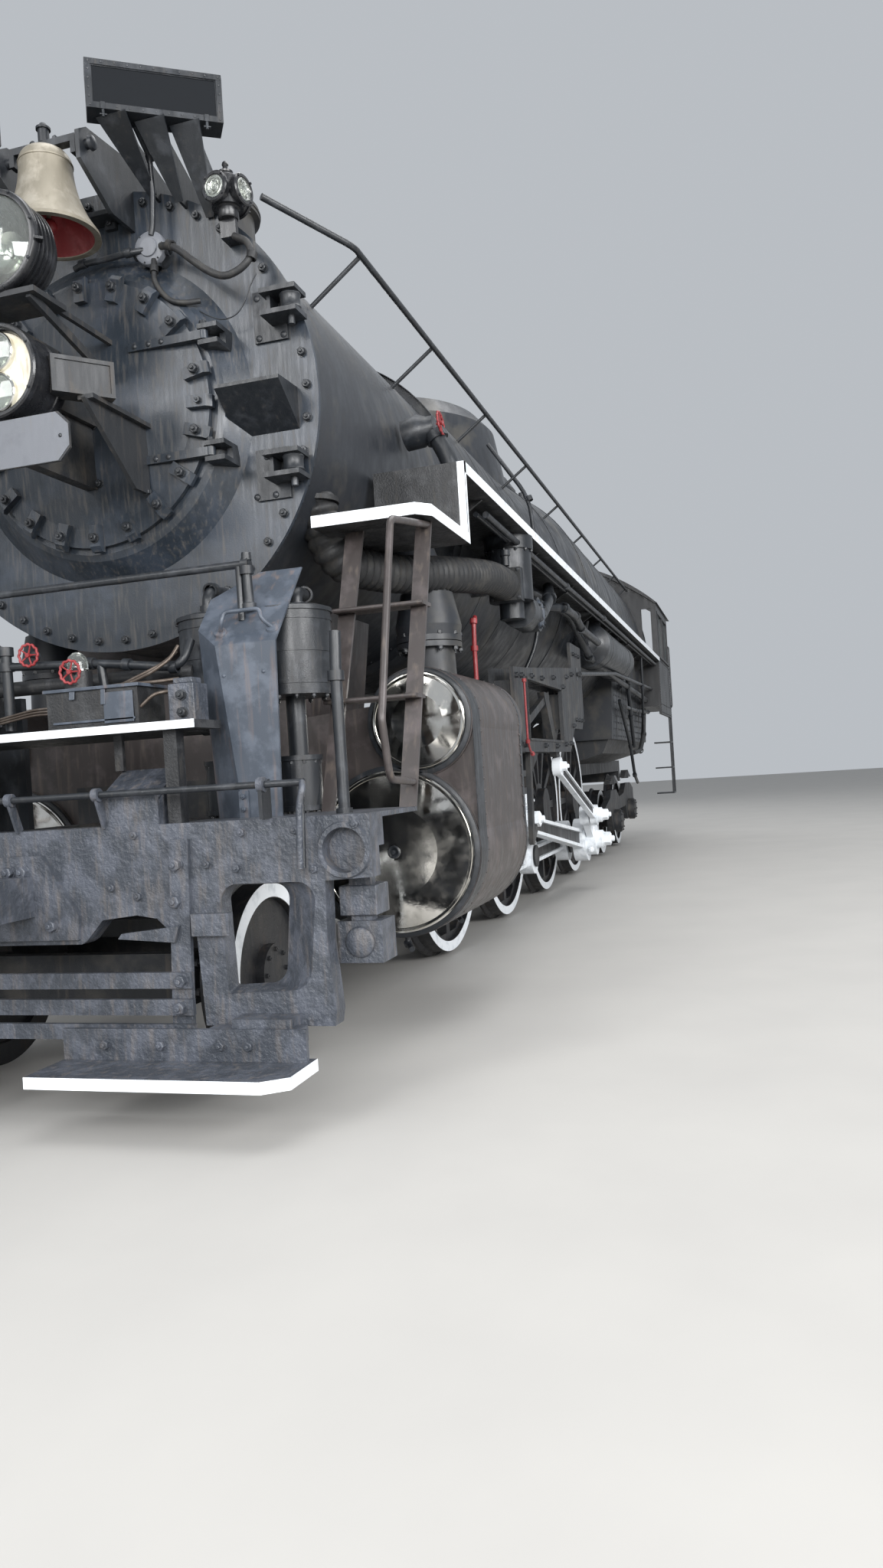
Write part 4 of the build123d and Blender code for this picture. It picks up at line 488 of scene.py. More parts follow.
def polishedSteel():
    # Turned and buffed steel covers: nearly a mirror, with faint smears
    tree, shader, place = newFinish("polishedSteel", "polished_cover")
    smears = addNode(tree, "ShaderNodeTexNoise", {"Scale": 9.0, "Detail": 6.0, "Roughness": 0.65},
                     {"Vector": place})
    gloss = addNode(tree, "ShaderNodeMapRange", {"From Min": 0.4, "From Max": 0.7, "To Min": 0.05, "To Max": 0.22},
                    {"Value": smears})
    tint = addNode(tree, "ShaderNodeMix", {"data_type": "RGBA", 6: linearColour("#e8e7e4"),
                                           7: linearColour("#cdc9bf")}, {0: smears})
    waves = addNode(tree, "ShaderNodeBump", {"Strength": 0.5, "Distance": 0.0008}, {"Height": smears})
    feedNode(tree, shader, {"Metallic": 1.0}, {"Base Color": tint.outputs[2], "Roughness": gloss, "Normal": waves})


def clearGlass(name, colour, roughness, through):
    # Pressed or rolled glass: faint ripples left by the mould
    tree, shader, place = newFinish(name, "lamp_black")
    ribs = addNode(tree, "ShaderNodeTexNoise", {"Scale": 40.0, "Detail": 2.0}, {"Vector": place})
    ripples = addNode(tree, "ShaderNodeBump", {"Strength": 0.4, "Distance": 0.0006}, {"Height": ribs})
    feedNode(tree, shader, {"Base Color": linearColour(colour), "Roughness": roughness, "IOR": 1.5,
                            "Transmission Weight": through}, {"Normal": ripples})


def silveredReflector():
    # Silver-plated reflectors behind the lamp glasses, slightly dulled
    tree, shader, _ = newFinish("silveredReflector", "lamp_black")
    feedNode(tree, shader, {"Base Color": linearColour("#dcdcd6"), "Metallic": 1.0, "Roughness": 0.16}, {})


polishedSteel()
clearGlass("lampGlass", "#e9eeea", 0.04, 0.94)
clearGlass("darkPane", "#15171a", 0.12, 0.0)
clearGlass("cabPane", "#8fa0a3", 0.05, 0.85)
silveredReflector()
print("finishes made:", len(finishes))

nodeFinishes = {
    "jacketBlack": ["boiler_barrel", "firebox", "smokebox", "stack", "sand_dome", "steam_dome", "steam_pipes"],
    "frontEnamel": ["smokebox_front", "smokebox_door"],
    "castGrey": ["pilot_beam", "pilot_steps", "footboards", "front_coupler"],
    "frameBlack": ["engine_bed", "drag_casting", "crosshead_guides", "valve_gear_frames", "ash_pan",
                   "brake_rigging", "lead_truck_frame", "trailing_truck_frame", "valve_rods",
                   "door_lamp_bracket"],
    "fittingBlack": ["bell_bracket", "number_boards", "front_fittings", "air_pumps", "handrails", "top_fittings",
                     "hot_water_pump", "air_reservoirs", "cab_fittings", "bell_yoke"],
    "shieldGrey": ["pump_shields"],
    "jacketBrown": ["cylinders", "front_ladders"],
    "rodWhite": ["crossheads", "main_rods", "eccentric_rods", "side_rod_left", "side_rod_right"],
    "wheelBlack": [f"{axle}_wheelset" for axle in ("driver_1", "driver_2", "driver_3", "driver_4", "lead",
                                                   "trail_front", "trail_rear")],
    "boardBlack": ["front_deck", "running_boards"],
    "cabBlack": ["cab_body", "cab_roof"],
    "laggingTape": ["lagged_pipe"],
    "lampBlack": ["headlight", "signal_lamp", "marker_lamps"],
    "bellBronze": ["bell"],
    "polishedSteel": ["cylinder_covers"],
}
for finishName, names in nodeFinishes.items():
    for nodeName in names:
        mesh = nodes[nodeName].data
        mesh.materials.clear()
        mesh.materials.append(finishes[finishName])
        mesh.polygons.foreach_set("material_index", np.zeros(len(mesh.polygons), np.int32))


frontLook = {"plateX": 2763, "boilerZ": 3129, "rimRadius": 1080, "rimStuds": 44, "rimFirst": 178.7, "rimNut": 17,
             "studsLeftOut": (14, 16), "clampX": 2945, "dogCircle": 603, "dogNut": 19,
             "lowNut": 14.2, "lowAngle": 93,
             "dogAngles": [18 * i for i in range(20) if i not in (4, 5, 6)] + [79, 93, 106],
             "strapX": 2946, "strapY": (286, 361, 429), "strapZ": 272,
             "footBolts": ((858, 2840), (935, 2762), (795, 2655), (892, 2655), (858, 3590), (985, 3590),
                           (858, 3400), (985, 3400)),
             "stepBolts": ((730, 3120), (996, 3120), (730, 2990), (996, 2990)),
             "webBolts": ((-40, 2785), (40, 2785), (-40, 3060), (40, 3060), (-150, 3190), (150, 3190),
                          (301, 2710)),
             "rollers": ((2850, 1058, 3510), (2850, 1023, 2766)),
             "hingeCaps": ((2925, 642, 2907), (2925, 642, 3451))}


def frontFasteners(look):
    # Nuts round the rim and on the dogs, rivets on the straps, bolts at the feet of what the front carries
    plate, x, z = look["plateX"], look["strapX"], look["boilerZ"]
    angles = look["rimFirst"] - np.arange(look["rimStuds"]) * 360 / look["rimStuds"]
    angles = np.delete(angles, look["studsLeftOut"])
    addNuts("rimNuts", clockPlaces(plate, z, look["rimRadius"], angles), ahead, look["rimNut"])
    # The nut that comes nearest the step when the door is open is a low one
    sizes = np.where(np.array(look["dogAngles"]) == look["lowAngle"], look["lowNut"], look["dogNut"])
    dogs = clockPlaces(look["clampX"], z, look["dogCircle"], look["dogAngles"])
    addNuts("dogNuts", dogs, ahead, sizes, body=door)
    heads = [(x, y, z + dz) for dz in (-look["strapZ"], look["strapZ"]) for y in look["strapY"]]
    addRivets("strapRivets", heads, ahead, 14, body=door)
    addRivets("bracketBolts", [(plate + 16, y, z) for y, z in look["footBolts"]], ahead, 17)
    addRivets("stepBolts", [(plate + 1, y, z) for y, z in look["stepBolts"]], ahead, 12)
    addNuts("webBolts", [(x - 12, y, z) for y, z in look["webBolts"]], ahead, 15, body=door)
    # Pin through each roller, with a nut below
    pin = [(-104, 0), (-104, 17), (-62, 17), (-62, 30), (-52, 30), (-52, 0)]
    waist = [(-38, 47), (-30, 52), (-22, 47), (22, 47), (30, 52), (38, 47), (38, 40), (-38, 40), (-38, 47)]
    for i, place in enumerate(look["rollers"]):
        parts = [turned(pin, place, skyward, 12), turned(waist, place, skyward, 24)]
        addPiece(f"rollerPin{i + 1}", parts, soften=1.5)
    cap = [(0, 0), (0, 20), (14, 18), (20, 8), (20, 0)]
    addPiece("hingeCaps", [turned(cap, place, skyward, 16) for place in look["hingeCaps"]])


frontFasteners(frontLook)

hoseLook = {
    # name: (radius, bend, collars, finish, points)
    "droopHose": (17, 60, (1, 7), "laggingTape",
                  ((2880, 425, 3880), (2905, 489, 3861), (2915, 540, 3822), (2915, 594, 3771), (2915, 681, 3696),
                   (2912, 762, 3654), (2908, 847, 3677), (2895, 901, 3734), (2880, 880, 3813), (2860, 800, 3862))),
    "downHose": (13, 40, (1,), "laggingTape",
                 ((2860, 372, 3835), (2875, 378, 3780), (2885, 378, 3726), (2890, 416, 3657), (2890, 464, 3606),
                  (2880, 530, 3590), (2850, 600, 3600))),
    "dishPipe": (15, 40, (1, 3), "fittingBlack",
                 ((2868, -60, 3868), (2880, -5, 3878), (2885, 130, 3874), (2885, 250, 3880), (2860, 320, 3890))),
    "boardConduit": (13, 30, (1,), "fittingBlack",
                     ((3040, 420, 4365), (2890, 403, 4300), (2870, 395, 4162), (2866, 380, 3990),
                      (2866, 368, 3950))),
    "tagWire": (3, 60, (), "fittingBlack",
                ((2835, 584, 3560), (2840, 641, 3520), (2842, 707, 3490), (2845, 785, 3502), (2850, 835, 3562),
                 (2850, 860, 3622), (2848, 896, 3675))),
}
for name, (radius, bend, collars, finish, points) in hoseLook.items():
    addPiece(name, ringed(points, radius, collars, bend), finish, sharp=50)

junctionLook = {"place": (2860, 350, 3897), "spoutX": 2830, "screwCircle": 72,
                "spouts": ((0, 1, -0.2), (0, -1, -0.1), (0, 0.25, -1)),
                "cover": [(-30, 75), (-30, 82), (-6, 82), (0, 78), (4, 66), (4, 46), (12, 44), (12, 0)]}


def junctionCover(look):
    # Round cover of the junction box with its raised middle, spouts and screws
    x, y, z = look["place"]
    addPiece("junctionCover", turned(look["cover"], look["place"], ahead, 40), "plateGrey", soften=1)
    spout = [(60, 18), (60, 26), (96, 26), (96, 20)]
    addPiece("junctionSpouts", [turned(spout, (look["spoutX"], y, z), way, 12) for way in look["spouts"]])
    screws = clockPlaces(x + 1, z, look["screwCircle"], np.arange(6) * 60 + 22)
    addNuts("junctionScrews", screws + [0, y, 0], ahead, 3.5)


junctionCover(junctionLook)
print("smokebox front done")

headlightLook = {"x": 3575, "z": 3675, "rim": 222, "body": 205, "lens": 194, "bulge": 55, "back": -245,
                 "fins": (-160, -132, -104, -76)}


def headlightParts(look):
    # Casing with fins and a hinged front ring; the reflector's depth goes with the square of its radius
    x, z, back, rim, body, lens = (look[key] for key in ("x", "z", "back", "rim", "body", "lens"))
    centre = (x, 0, z)
    case = [(back, 0), (back, 112), (back + 6, 120), (back + 38, 187), (back + 70, body)]
    for fin in look["fins"]:
        case += [(fin, body), (fin + 2, body + 9), (fin + 10, body + 9), (fin + 12, body)]
    case += [(-44, body), (-40, rim - 2), (-34, rim), (-12, rim), (-4, rim - 5), (0, rim - 14), (0, lens + 3),
             (-12, lens + 1), (-16, lens - 2), (-150, 60), (-150, 0)]
    casing = addPiece("headlightCasing", turned(case, centre, ahead, 64), "lampBlack", door)
    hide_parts("headlight")
    r = np.linspace(14, lens - 4, 16)
    dish = np.stack([-148 + 128 * (r / r[-1]) ** 2, r], -1)
    addPiece("headlightReflector", turned(thickened(dish, (-2, 0)), centre, ahead, 64), "silveredReflector", door)
    bulb = [(-140, 12), (-112, 12), (-108, 20), (-92, 24), (-74, 18), (-66, 0), (-140, 0)]
    addPiece("headlightBulb", turned(bulb, centre, ahead, 24), "lampGlass", door)
    # Lens: two caps of height bulge (1 - (r/R)^2)
    r = np.linspace(lens, 0, 18)
    cap = np.stack([look["bulge"] * (1 - (r / lens) ** 2) - 8, r], -1)
    addPiece("headlightLens", turned(thickened(cap, (-6, 0)), centre, ahead, 72), "lampGlass", door, sharp=60)
    addNuts("headlightScrews", clockPlaces(x - 2, z, rim - 9, np.arange(8) * 45 + 30), ahead, 6, body=door)
    # Hinge above and wing latch at the side of the ring, and the vent on top
    hinge = [brick(x - 48, x - 6, -36, 36, z + rim - 8, z + rim + 12),
             turned(band(-30, 30, 0, 9), (x - 40, 0, z + rim + 14), leftward, 12),
             beam((x - 40, rim - 10, z - 30), (x - 8, rim + 18, z - 30), 34, 12, skyward),
             turned([(0, 0), (0, 60), (30, 52), (34, 40), (34, 0)], (x - 130, 0, z + body - 8), skyward, 24)]
    addPiece("headlightHinge", hinge, "lampBlack", door, soften=2)


headlightParts(headlightLook)

signalLook = {"x": 3605, "z": 3112, "rim": 203, "beam": 80, "offset": 87, "face": 171}


def signalParts(look):
    # Round casing with a recess, and two sealed lamps one above the other
    x, z, r, beamR = look["x"], look["z"], look["rim"], look["beam"]
    case = [(-275, 0), (-275, 135), (-268, 143), (-245, r - 16), (-200, r - 10), (-196, r - 4), (-184, r - 4),
            (-180, r - 9), (-40, r - 8), (-36, r), (-8, r), (0, r - 6), (0, r - 18), (-5, r - 23), (-44, r - 31),
            (-44, 0)]
    casing = addPiece("signalCasing", turned(case, (x, 0, z), ahead, 64), "lampBlack", door)
    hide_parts("signal_lamp")
    addPiece("signalFace", turned(band(-44, -41, 0, look["face"]), (x, 0, z), ahead, 56), "lampCream", door)
    bezel = [(-44, beamR + 4), (-20, beamR + 4), (-15, beamR), (-17, beamR - 6), (-44, beamR - 6),
             (-44, beamR + 4)]
    radius = np.linspace(4, beamR - 8, 8)
    dish = thickened(np.stack([-42 + 20 * (radius / radius[-1]) ** 2, radius], -1), (-1, 0))
    radius = np.linspace(beamR - 7, 0, 8)
    lens = thickened(np.stack([12 * (1 - (radius / beamR) ** 2) - 20, radius], -1), (-3, 0))
    for name, profile, finish, sharp in (("signalBezels", bezel, "silveredReflector", 34),
                                         ("signalDishes", dish, "silveredReflector", 34),
                                         ("signalLenses", lens, "lampGlass", 60)):
        lamps = [turned(profile, (x, 0, z + dz), ahead, 40) for dz in (-look["offset"], look["offset"])]
        addPiece(name, lamps, finish, door, sharp=sharp)
    addNuts("signalScrews", clockPlaces(x - 3, z, r - 11, np.arange(6) * 60), ahead, 6, body=door)


signalParts(signalLook)

plateLook = {"x": 3580, "z": 2799, "half": 329, "tall": 102, "corner": 58}


def plateParts(look):
    # Blank grey face on the eight-sided plate, and its bolts
    w, t, c, x, z = look["half"], look["tall"], look["corner"], look["x"], look["z"]
    outline = [(-w, -t + c), (-w + c, -t), (w - c, -t), (w, -t + c),
               (w, t - c), (w - c, t), (-w + c, t), (-w, t - c)]
    addPiece("plateFace", slab(outline, (x, 0, z), leftward, skyward, 2), "plateGrey", door)
    addRivets("plateBolts", [(x + 2, y, z) for y in (-w + 40, w - 40)], ahead, 9, body=door)


plateParts(plateLook)

markerLook = {"centre": (2840, 768, 4069), "turns": (-10, 80, 170), "reach": 93}


def markerParts(look):
    # Each glass has stepped rings over a silvered disc, held by a clamp ring; a finial stands on top
    centre = np.array(look["centre"], float)
    lens = [(3, 50), (7, 50), (9, 45), (6, 38), (11, 36), (13, 31), (9, 25), (14, 23), (16, 17), (12, 12),
            (19, 10), (21, 0), (3, 0)]
    clamp = [(-8, 52), (-8, 70), (4, 72), (10, 66), (10, 54), (3, 50), (-8, 52)]
    glasses, discs, rings = [], [], []
    for turn in np.radians(look["turns"]):
        facing = np.array([math.cos(turn), math.sin(turn), 0])
        across = np.array([-facing[1], facing[0], 0])
        place = centre + look["reach"] * facing
        discs.append(turned([(0, 0), (0, 50), (1.5, 50), (1.5, 0)], place, facing, 32))
        glasses.append(turned(lens, place, facing, 40))
        rings.append(turned(clamp, place, facing, 32))
        for corner in np.radians(np.arange(4) * 90 + 45):
            spot = place + 64 * (math.cos(corner) * across + math.sin(corner) * np.array([0, 0, 1]))
            rings.append(turned([(8, 0), (8, 7), (16, 6), (16, 0)], spot, facing, 8))
    finial = [(100, 0), (100, 34), (108, 36), (112, 22), (120, 14), (134, 12), (142, 16), (152, 14), (160, 6),
              (162, 0)]
    pot = [(-116, 0), (-116, 46), (-110, 50), (-72, 50), (-66, 58), (-60, 58), (-60, 0)]
    rings += [turned(finial, centre, skyward, 20), turned(pot, centre, skyward, 32)]
    addPair("markerGlass", glasses, "lampGlass", sharp=28)
    addPair("markerDiscs", discs, "silveredReflector")
    addPair("markerRings", rings, "lampBlack")


markerParts(markerLook)

boardLook = {"inner": (3239, 300, 4366.0), "outer": (2899, 803, 4366.0), "tall": 222, "border": 26,
             "knobs": (70, 530), "rivetRow": 11, "rivetColumn": 4}


def numberBoardParts(look):
    # Dark blank pane behind a riveted frame, with wing nuts and hinge lugs along its lower edge
    inner, outer, tall, border = np.array(look["inner"]), np.array(look["outer"]), look["tall"], look["border"]
    length = np.linalg.norm(outer - inner)
    across, upward = (outer - inner) / length, np.array([0, 0, 1.0])
    out = np.cross(across, upward)

    def panel(u0, u1, v0, v1, w, depth):
        return slab(oblong(u0, u1, v0, v1), inner + w * out, across, upward, depth)
    shapes = [panel(*edges, 0, 5) for edges in (
        (0, length, 0, border), (0, length, tall - border, tall), (0, border, border, tall - border),
        (length - border, length, border, tall - border))]
    for u in look["knobs"]:
        place = inner + u * across + 6 * out
        wing = place + [0, 0, -30]
        shapes += [turned([(-46, 0), (-46, 7), (20, 7), (20, 0)], place + [0, 0, 6], skyward, 8),
                   beam(wing - 16 * across, wing + 16 * across, 14, 5, skyward),
                   slab(oblong(-10, 10, -6, 26), place - 2 * out, across, upward, 10)]
    addPair("boardFrames", shapes, soften=1)
    addPair("boardPanes", panel(28, length - 28, 28, tall - 28, -6, 3), "darkPane")
    spots = [(u, v) for v in (13, tall - 13) for u in np.linspace(16, length - 16, look["rivetRow"])]
    spots += [(u, v) for u in (13, length - 13) for v in np.linspace(50, tall - 50, look["rivetColumn"])]
    heads = [inner + u * across + v * upward + 5 * out for u, v in spots]
    addPair("boardRivets", repeated(rivet, heads, out, 5))


numberBoardParts(boardLook)
print("lamps done")

bellLook = {"x": 3140, "mouthZ": 3888, "inside": ((3888, 200), (4018, 136), (4218, 96)),
            "rings": ((52, 196), (64, 191), (330, 123)), "ballZ": 50, "ball": 35.5}


def bellParts(look):
    # Red paint inside follows the bell's inner arc, 1.5 mm proud; the clapper's ball is red too
    x, inside = look["x"], look["inside"]
    base = (x, 0, look["mouthZ"])
    (cz, cr), radius = circleThrough(*inside)
    z = np.linspace(inside[0][0] + 3, inside[2][0], 14)
    skin = np.stack([z - look["mouthZ"], cr - np.sqrt(radius**2 - (z - cz) ** 2) - 1.5], -1)
    addPiece("bellRed", turned(thickened(skin, (0, 1.2)), base, skyward, 64), "oxideRed", "bell")
    t = np.linspace(-math.pi / 2, math.pi / 2, 12)
    ball = np.stack([look["ballZ"] + look["ball"] * np.sin(t), look["ball"] * np.cos(t)], -1)
    addPiece("clapperRed", turned(ball, base, skyward, 24), "oxideRed", "bell")
    # Moulded rings on the waist and at the lip
    rings = [turned([(h - 4, r - 3), (h - 2, r + 2), (h + 2, r + 2), (h + 4, r - 3)], base, skyward, 64)
             for h, r in look["rings"]]
    addPiece("bellRings", rings, "bellBronze", "bell")
    addNuts("yokeNuts", [(x, y, 4322) for y in (-60, 60)], skyward, 13, body="bell")
    cap = [(94, 26), (94, 34), (104, 34), (110, 24), (124, 14), (130, 0), (94, 0)]
    addPiece("bellCap", turned(cap, (x, 0, 4290), skyward, 16), body="bell")
    trunnion = [(246, 0), (246, 34), (262, 30), (268, 12), (268, 0)]
    addPair("trunnionCaps", turned(trunnion, (x, 0, 4270), leftward, 16), body="bell")
    addPair("bellFootNuts", nutsAt([(2790, 102, 4136), (2790, 102, 4095)], ahead, 13))


bellParts(bellLook)
print("bell done")

deckLook = {
    "wheels": ((3400, -77, 1925), (3530, 222, 1815)), "wheelRadius": 48,
    # Pipes: (points, radius, collars, bend, collar width, collar height)
    "pipes": (([(3340, -640, 1870), (3340, -240, 1890), (3340, 201, 1868), (3345, 386, 1846), (3350, 618, 1814),
                (3345, 668, 1845), (3300, 680, 1930)], 19, (1, 2, 3, 4), 50, 18, 8),
              ([(3340, -240, 1960), (3340, -240, 1890), (3330, -245, 1600)], 24, (0, 1), 30, 20, 10),
              ([(3340, 250, 1868), (3335, 262, 1730), (3335, 262, 1566)], 20, (1,), 30, 20, 8)),
    "copper": ([(3450, 330, 1745), (3450, 464, 1752), (3450, 570, 1790), (3420, 640, 1840), (3380, 660, 1900)],
               [(3470, 330, 1742), (3470, 480, 1746), (3470, 600, 1745), (3440, 690, 1752)],
               [(3430, 380, 1742), (3430, 520, 1790), (3400, 600, 1830), (3360, 640, 1880)],
               [(3540, 560, 1640), (3530, 620, 1690), (3480, 690, 1700)]),
    "glass": (3440, 200, 1826),
}


def deckParts(look):
    # Handwheels, header pipe with its unions, the lubricator's lid and sight glass, copper lines, the post's
    # nuts and the pipe block
    wheels = [handwheel(place, ahead, look["wheelRadius"], 6, 5) for place in look["wheels"]]
    addPiece("redWheels", wheels, "oxideRed", sharp=50)
    stem = [(-60, 0), (-60, 22), (-40, 22), (-40, 9), (0, 9), (0, 0)]
    stems = [turned(stem, place, ahead, 10) for place in look["wheels"]]
    addPiece("deckPipes", stems + [ringed(*pipe) for pipe in look["pipes"]], sharp=50)
    lid = [brick(3338, 3572, 108, 572, 1726, 1740), brick(3560, 3568, 150, 545, 1590, 1600),
           slab(oblong(-70, 70, 0, 130), (3562, 470, 1580), leftward, skyward, 6),
           beam((3564, 400, 1726), (3570, 400, 1660), 22, 6, ahead),
           beam((3564, 250, 1726), (3570, 250, 1690), 26, 6, ahead)]
    addPiece("lubricatorLid", lid, "shieldGrey", soften=2)
    glass = turned([(0, 0), (0, 44), (30, 46), (62, 38), (80, 18), (84, 0)], look["glass"], skyward, 24)
    addPiece("sightGlass", glass, "lampGlass", sharp=60)
    addPiece("sightRing", turned(band(-4, 4, 0, 50), look["glass"], skyward, 24), "polishedSteel")
    lines = [tube(bentLine(run, 30), 8, 8) for run in look["copper"]]
    for i in range(3):
        low = [(3420, 120, 1650 + 14 * i), (3410, -60, 1655 + 12 * i), (3390, -330, 1620 + 10 * i)]
        lines.append(tube(bentLine(low, 50), 6, 8))
    addPiece("copperLines", lines, "oldCopper", sharp=60)
    addNuts("postNuts", [(3562, 766, 1671), (3562, 768, 1600)], ahead, 17)
    block = [brick(3440, 3560, 700, 820, 1564, 1720), brick(3460, 3540, 715, 805, 1720, 1745)]
    addPiece("pipeBlock", block, "castGrey", soften=6)


deckParts(deckLook)

shieldLook = {"x": 3400, "rivets": ((878, 1750), (1061, 1754)), "angleBolts": ((937, 1239), (937, 1185)),
              "feet": ((3352, 850, 1940), (3352, 1092, 1940)),
              "grip": ((3395, 880, 1975), (3378, 884, 2020), (3378, 1050, 2020), (3395, 1062, 1975))}


def shieldParts(look):
    # Grab handle on the slope, rivets and the foot angle with its bolts, the rail's post through the top
    x, feet = look["x"], look["feet"]
    boss = [(-2, 0), (-2, 30), (7, 26), (9, 0)]
    handle = [tube(bentLine([feet[0], *look["grip"], feet[1]], 24), 9, 10)]
    handle += [turned(boss, foot, (0.76, 0, 0.65), 16) for foot in feet]
    addPair("shieldHandles", handle, "shieldGrey", sharp=60)
    addPair("shieldBolts", [repeated(rivet, [(x, y, z) for y, z in look["rivets"]], ahead, 9),
                            nutsAt([(x + 8, y, z) for y, z in look["angleBolts"]], ahead, 10),
                            brick(x, x + 8, 915, 960, 1149, 1262)], "shieldGrey")
    post = [(0, 0), (0, 30), (26, 30), (30, 22), (150, 20), (150, 30), (185, 30), (185, 20), (205, 18), (205, 0)]
    addPair("railPosts", [turned(post, (3290, 965, 2035), (0.05, 0, 1), 16),
                          turned(band(-16, 16, 17, 27), (3300, 965, 2229), leftward, 16),
                          turned([(-6, 0), (-6, 22), (26, 20), (26, 0)], (3300, 968, 2250), skyward, 12)],
            sharp=40)


shieldParts(shieldLook)
print("deck done")

pilotLook = {"x": 3647, "strapBolts": ((754, 984), (743, 837)), "coverBolts": ((36, 980), (161, 752)),
             "slatBolts": (523, 415, 315), "riserY": (450, 700, 960, 1080),
             "beamBolts": ((1040, 1100), (1270, 1100), (1520, 1110), (1340, 945), (560, 1110), (440, 900),
                           (560, 860), (1010, 960), (880, 980), (880, 760)),
             "lever": ((62, 1338, 1283), (92, 1352, 1262), (96, 1335, 1200), (84, 1318, 955)),
             "stanchion": ((3470, 1410, 1149), (3470, 1410, 1700), (3450, 1410, 1880)),
             "hose": ((3660, -330, 930), (3760, -340, 900), (3850, -345, 800), (3880, -340, 640),
                      (3860, -330, 520)), "hoseRing": (3662, -330, 930), "hoseEnd": (3858, -330, 500)}


def pilotParts(look):
    # Bolts with washers on straps, cover and slats; brackets, handle and stanchion of the lever
    x = look["x"]
    slats = [(758 - 0.1 * (523 - z), z) for z in look["slatBolts"]]
    places = leftRight(x + 22, look["strapBolts"]) + leftRight(x + 24, look["coverBolts"])
    addNuts("pilotBolts", places + leftRight(x + 44, slats), ahead, 22, "castGrey")
    addNuts("beamBolts", leftRight(x, look["beamBolts"]), ahead, 15, "castGrey")
    addNuts("riserBolts", leftRight(3777, [(y, 287) for y in look["riserY"]]), ahead, 17, "castGrey")
    rods = []
    for side in (1, -1):
        lever = [(x + dx, side * y, z) for dx, y, z in look["lever"]]
        rods += [tube(bentLine(lever, 40), 13, 12),
                 turned(band(-14, 14, 14, 30), (x + 40, side * 1158, 1283), leftward, 16),
                 beam((x + 20, side * 1158, 1149), (x + 40, side * 1158, 1270), 44, 12, leftward)]
    for y in (0, 420, -420):
        rods += [turned(band(-14, 14, 14, 28), (x + 40, y, 1283), leftward, 16),
                 beam((x - 10, y, 1149), (x + 38, y, 1275), 40, 12, leftward)]
    addPiece("leverBrackets", rods, "castGrey", sharp=50)
    addPiece("airStanchion", ringed(look["stanchion"], 24, (0, 1), 30, 20, 10), sharp=50)
    cap = [(-8, 0), (-8, 62), (10, 62), (18, 50), (18, 0)]
    addPair("beamEndFittings", [brick(x - 280, x - 130, 1380, 1540, 740, 860),
                                turned(cap, (x - 130, 1460, 636), ahead, 24)], "castGrey", soften=6)
    coupling = [(-40, 0), (-40, 44), (20, 48), (30, 30), (30, 0)]
    addPiece("brakeHose", [tube(smoothLine(look["hose"]), 28, 14),
                           turned(band(-30, 30, 34, 40), look["hoseRing"], ahead, 16),
                           turned(coupling, look["hoseEnd"], (0, 0, -1), 16)], "laggingTape", sharp=50)


pilotParts(pilotLook)

ladderLook = {"bolts": ((2752, 1555, 2074), (2752, 1200, 2074), (2934, 1555, 1640), (2934, 1200, 1640)),
              "treads": ((2798, 2070), (2977, 1635))}


def ladderParts(look):
    # Bolts on the stiles and rolled front edges on the treads
    addPair("ladderBolts", nutsAt(look["bolts"], (0.93, 0, 0.36), 10), "jacketBrown")
    edges = [tube([(x, 1150, z), (x, 1590, z)], 11, 10) for x, z in look["treads"]]
    addPair("treadEdges", edges, "jacketBrown", sharp=60)


ladderParts(ladderLook)

pumpLook = {
    "x": 3075, "y": (700, 1055),
    "flanges": ((1677, 184, 14), (1391, 104, 10), (1170, 104, 10)),  # height, radius, bolts
    "bands": (1720, 1860, 2000),
    # Pipes: points, radius, collars, bend, collar width, collar height
    "pipes": (([(3160, 700, 2075), (3160, 700, 2130), (3120, 700, 2170), (2880, 690, 2180)],
               26, (0, 2), 50, 20, 9),
              ([(3000, 1055, 2075), (3000, 1055, 2140), (2860, 1040, 2150), (2760, 980, 2150)],
               30, (0, 2), 50, 20, 9),
              ([(3240, 880, 1290), (3240, 880, 1480), (3200, 780, 1540), (3160, 640, 1540)],
               22, (0, 1), 50, 18, 8)),
}


def pumpParts(look):
    # Flange bolts, heads, feet, bands and pipes of the two pumps on each side
    shapes, nuts = [], []
    head = [(2030, 178), (2030, 186), (2048, 186), (2060, 150), (2074, 60), (2074, 0)]
    foot = [(1120, 0), (1120, 40), (1158, 60), (1158, 96)]
    for y in look["y"]:
        for z, r, count in look["flanges"]:
            angle = 2 * np.pi * np.arange(count) / count
            ring = np.stack([look["x"] + (r - 14) * np.cos(angle), y + (r - 14) * np.sin(angle),
                             np.full(count, z - 14.0)], -1)
            nuts.append(nutsAt(ring, (0, 0, -1), 9))
        shapes += [turned(head, (look["x"], y, 0), skyward, 40), turned(foot, (look["x"], y, 0), skyward, 24)]
        shapes += [turned(band(-9, 9, 178, 182), (look["x"], y, z), skyward, 40) for z in look["bands"]]
    addPair("pumpPipes", shapes + [ringed(*pipe) for pipe in look["pipes"]], sharp=45)
    addPair("pumpNuts", nuts)


pumpParts(pumpLook)
print("pilot and pumps done")

cylinderLook = {"y": 1173, "z": 891, "valveY": 1340, "valveZ": 1562, "frontX": 2165, "rearX": 1000, "jacketR": 455,
                "chestR": 285, "rivetGap": 62,
                "bands": (("jacketFrontBand", 2015, 2163), ("jacketRearBand", 1002, 1040)),
                "rivetRows": (("jacketRivets", 2001), ("jacketRearRivets", 1052))}


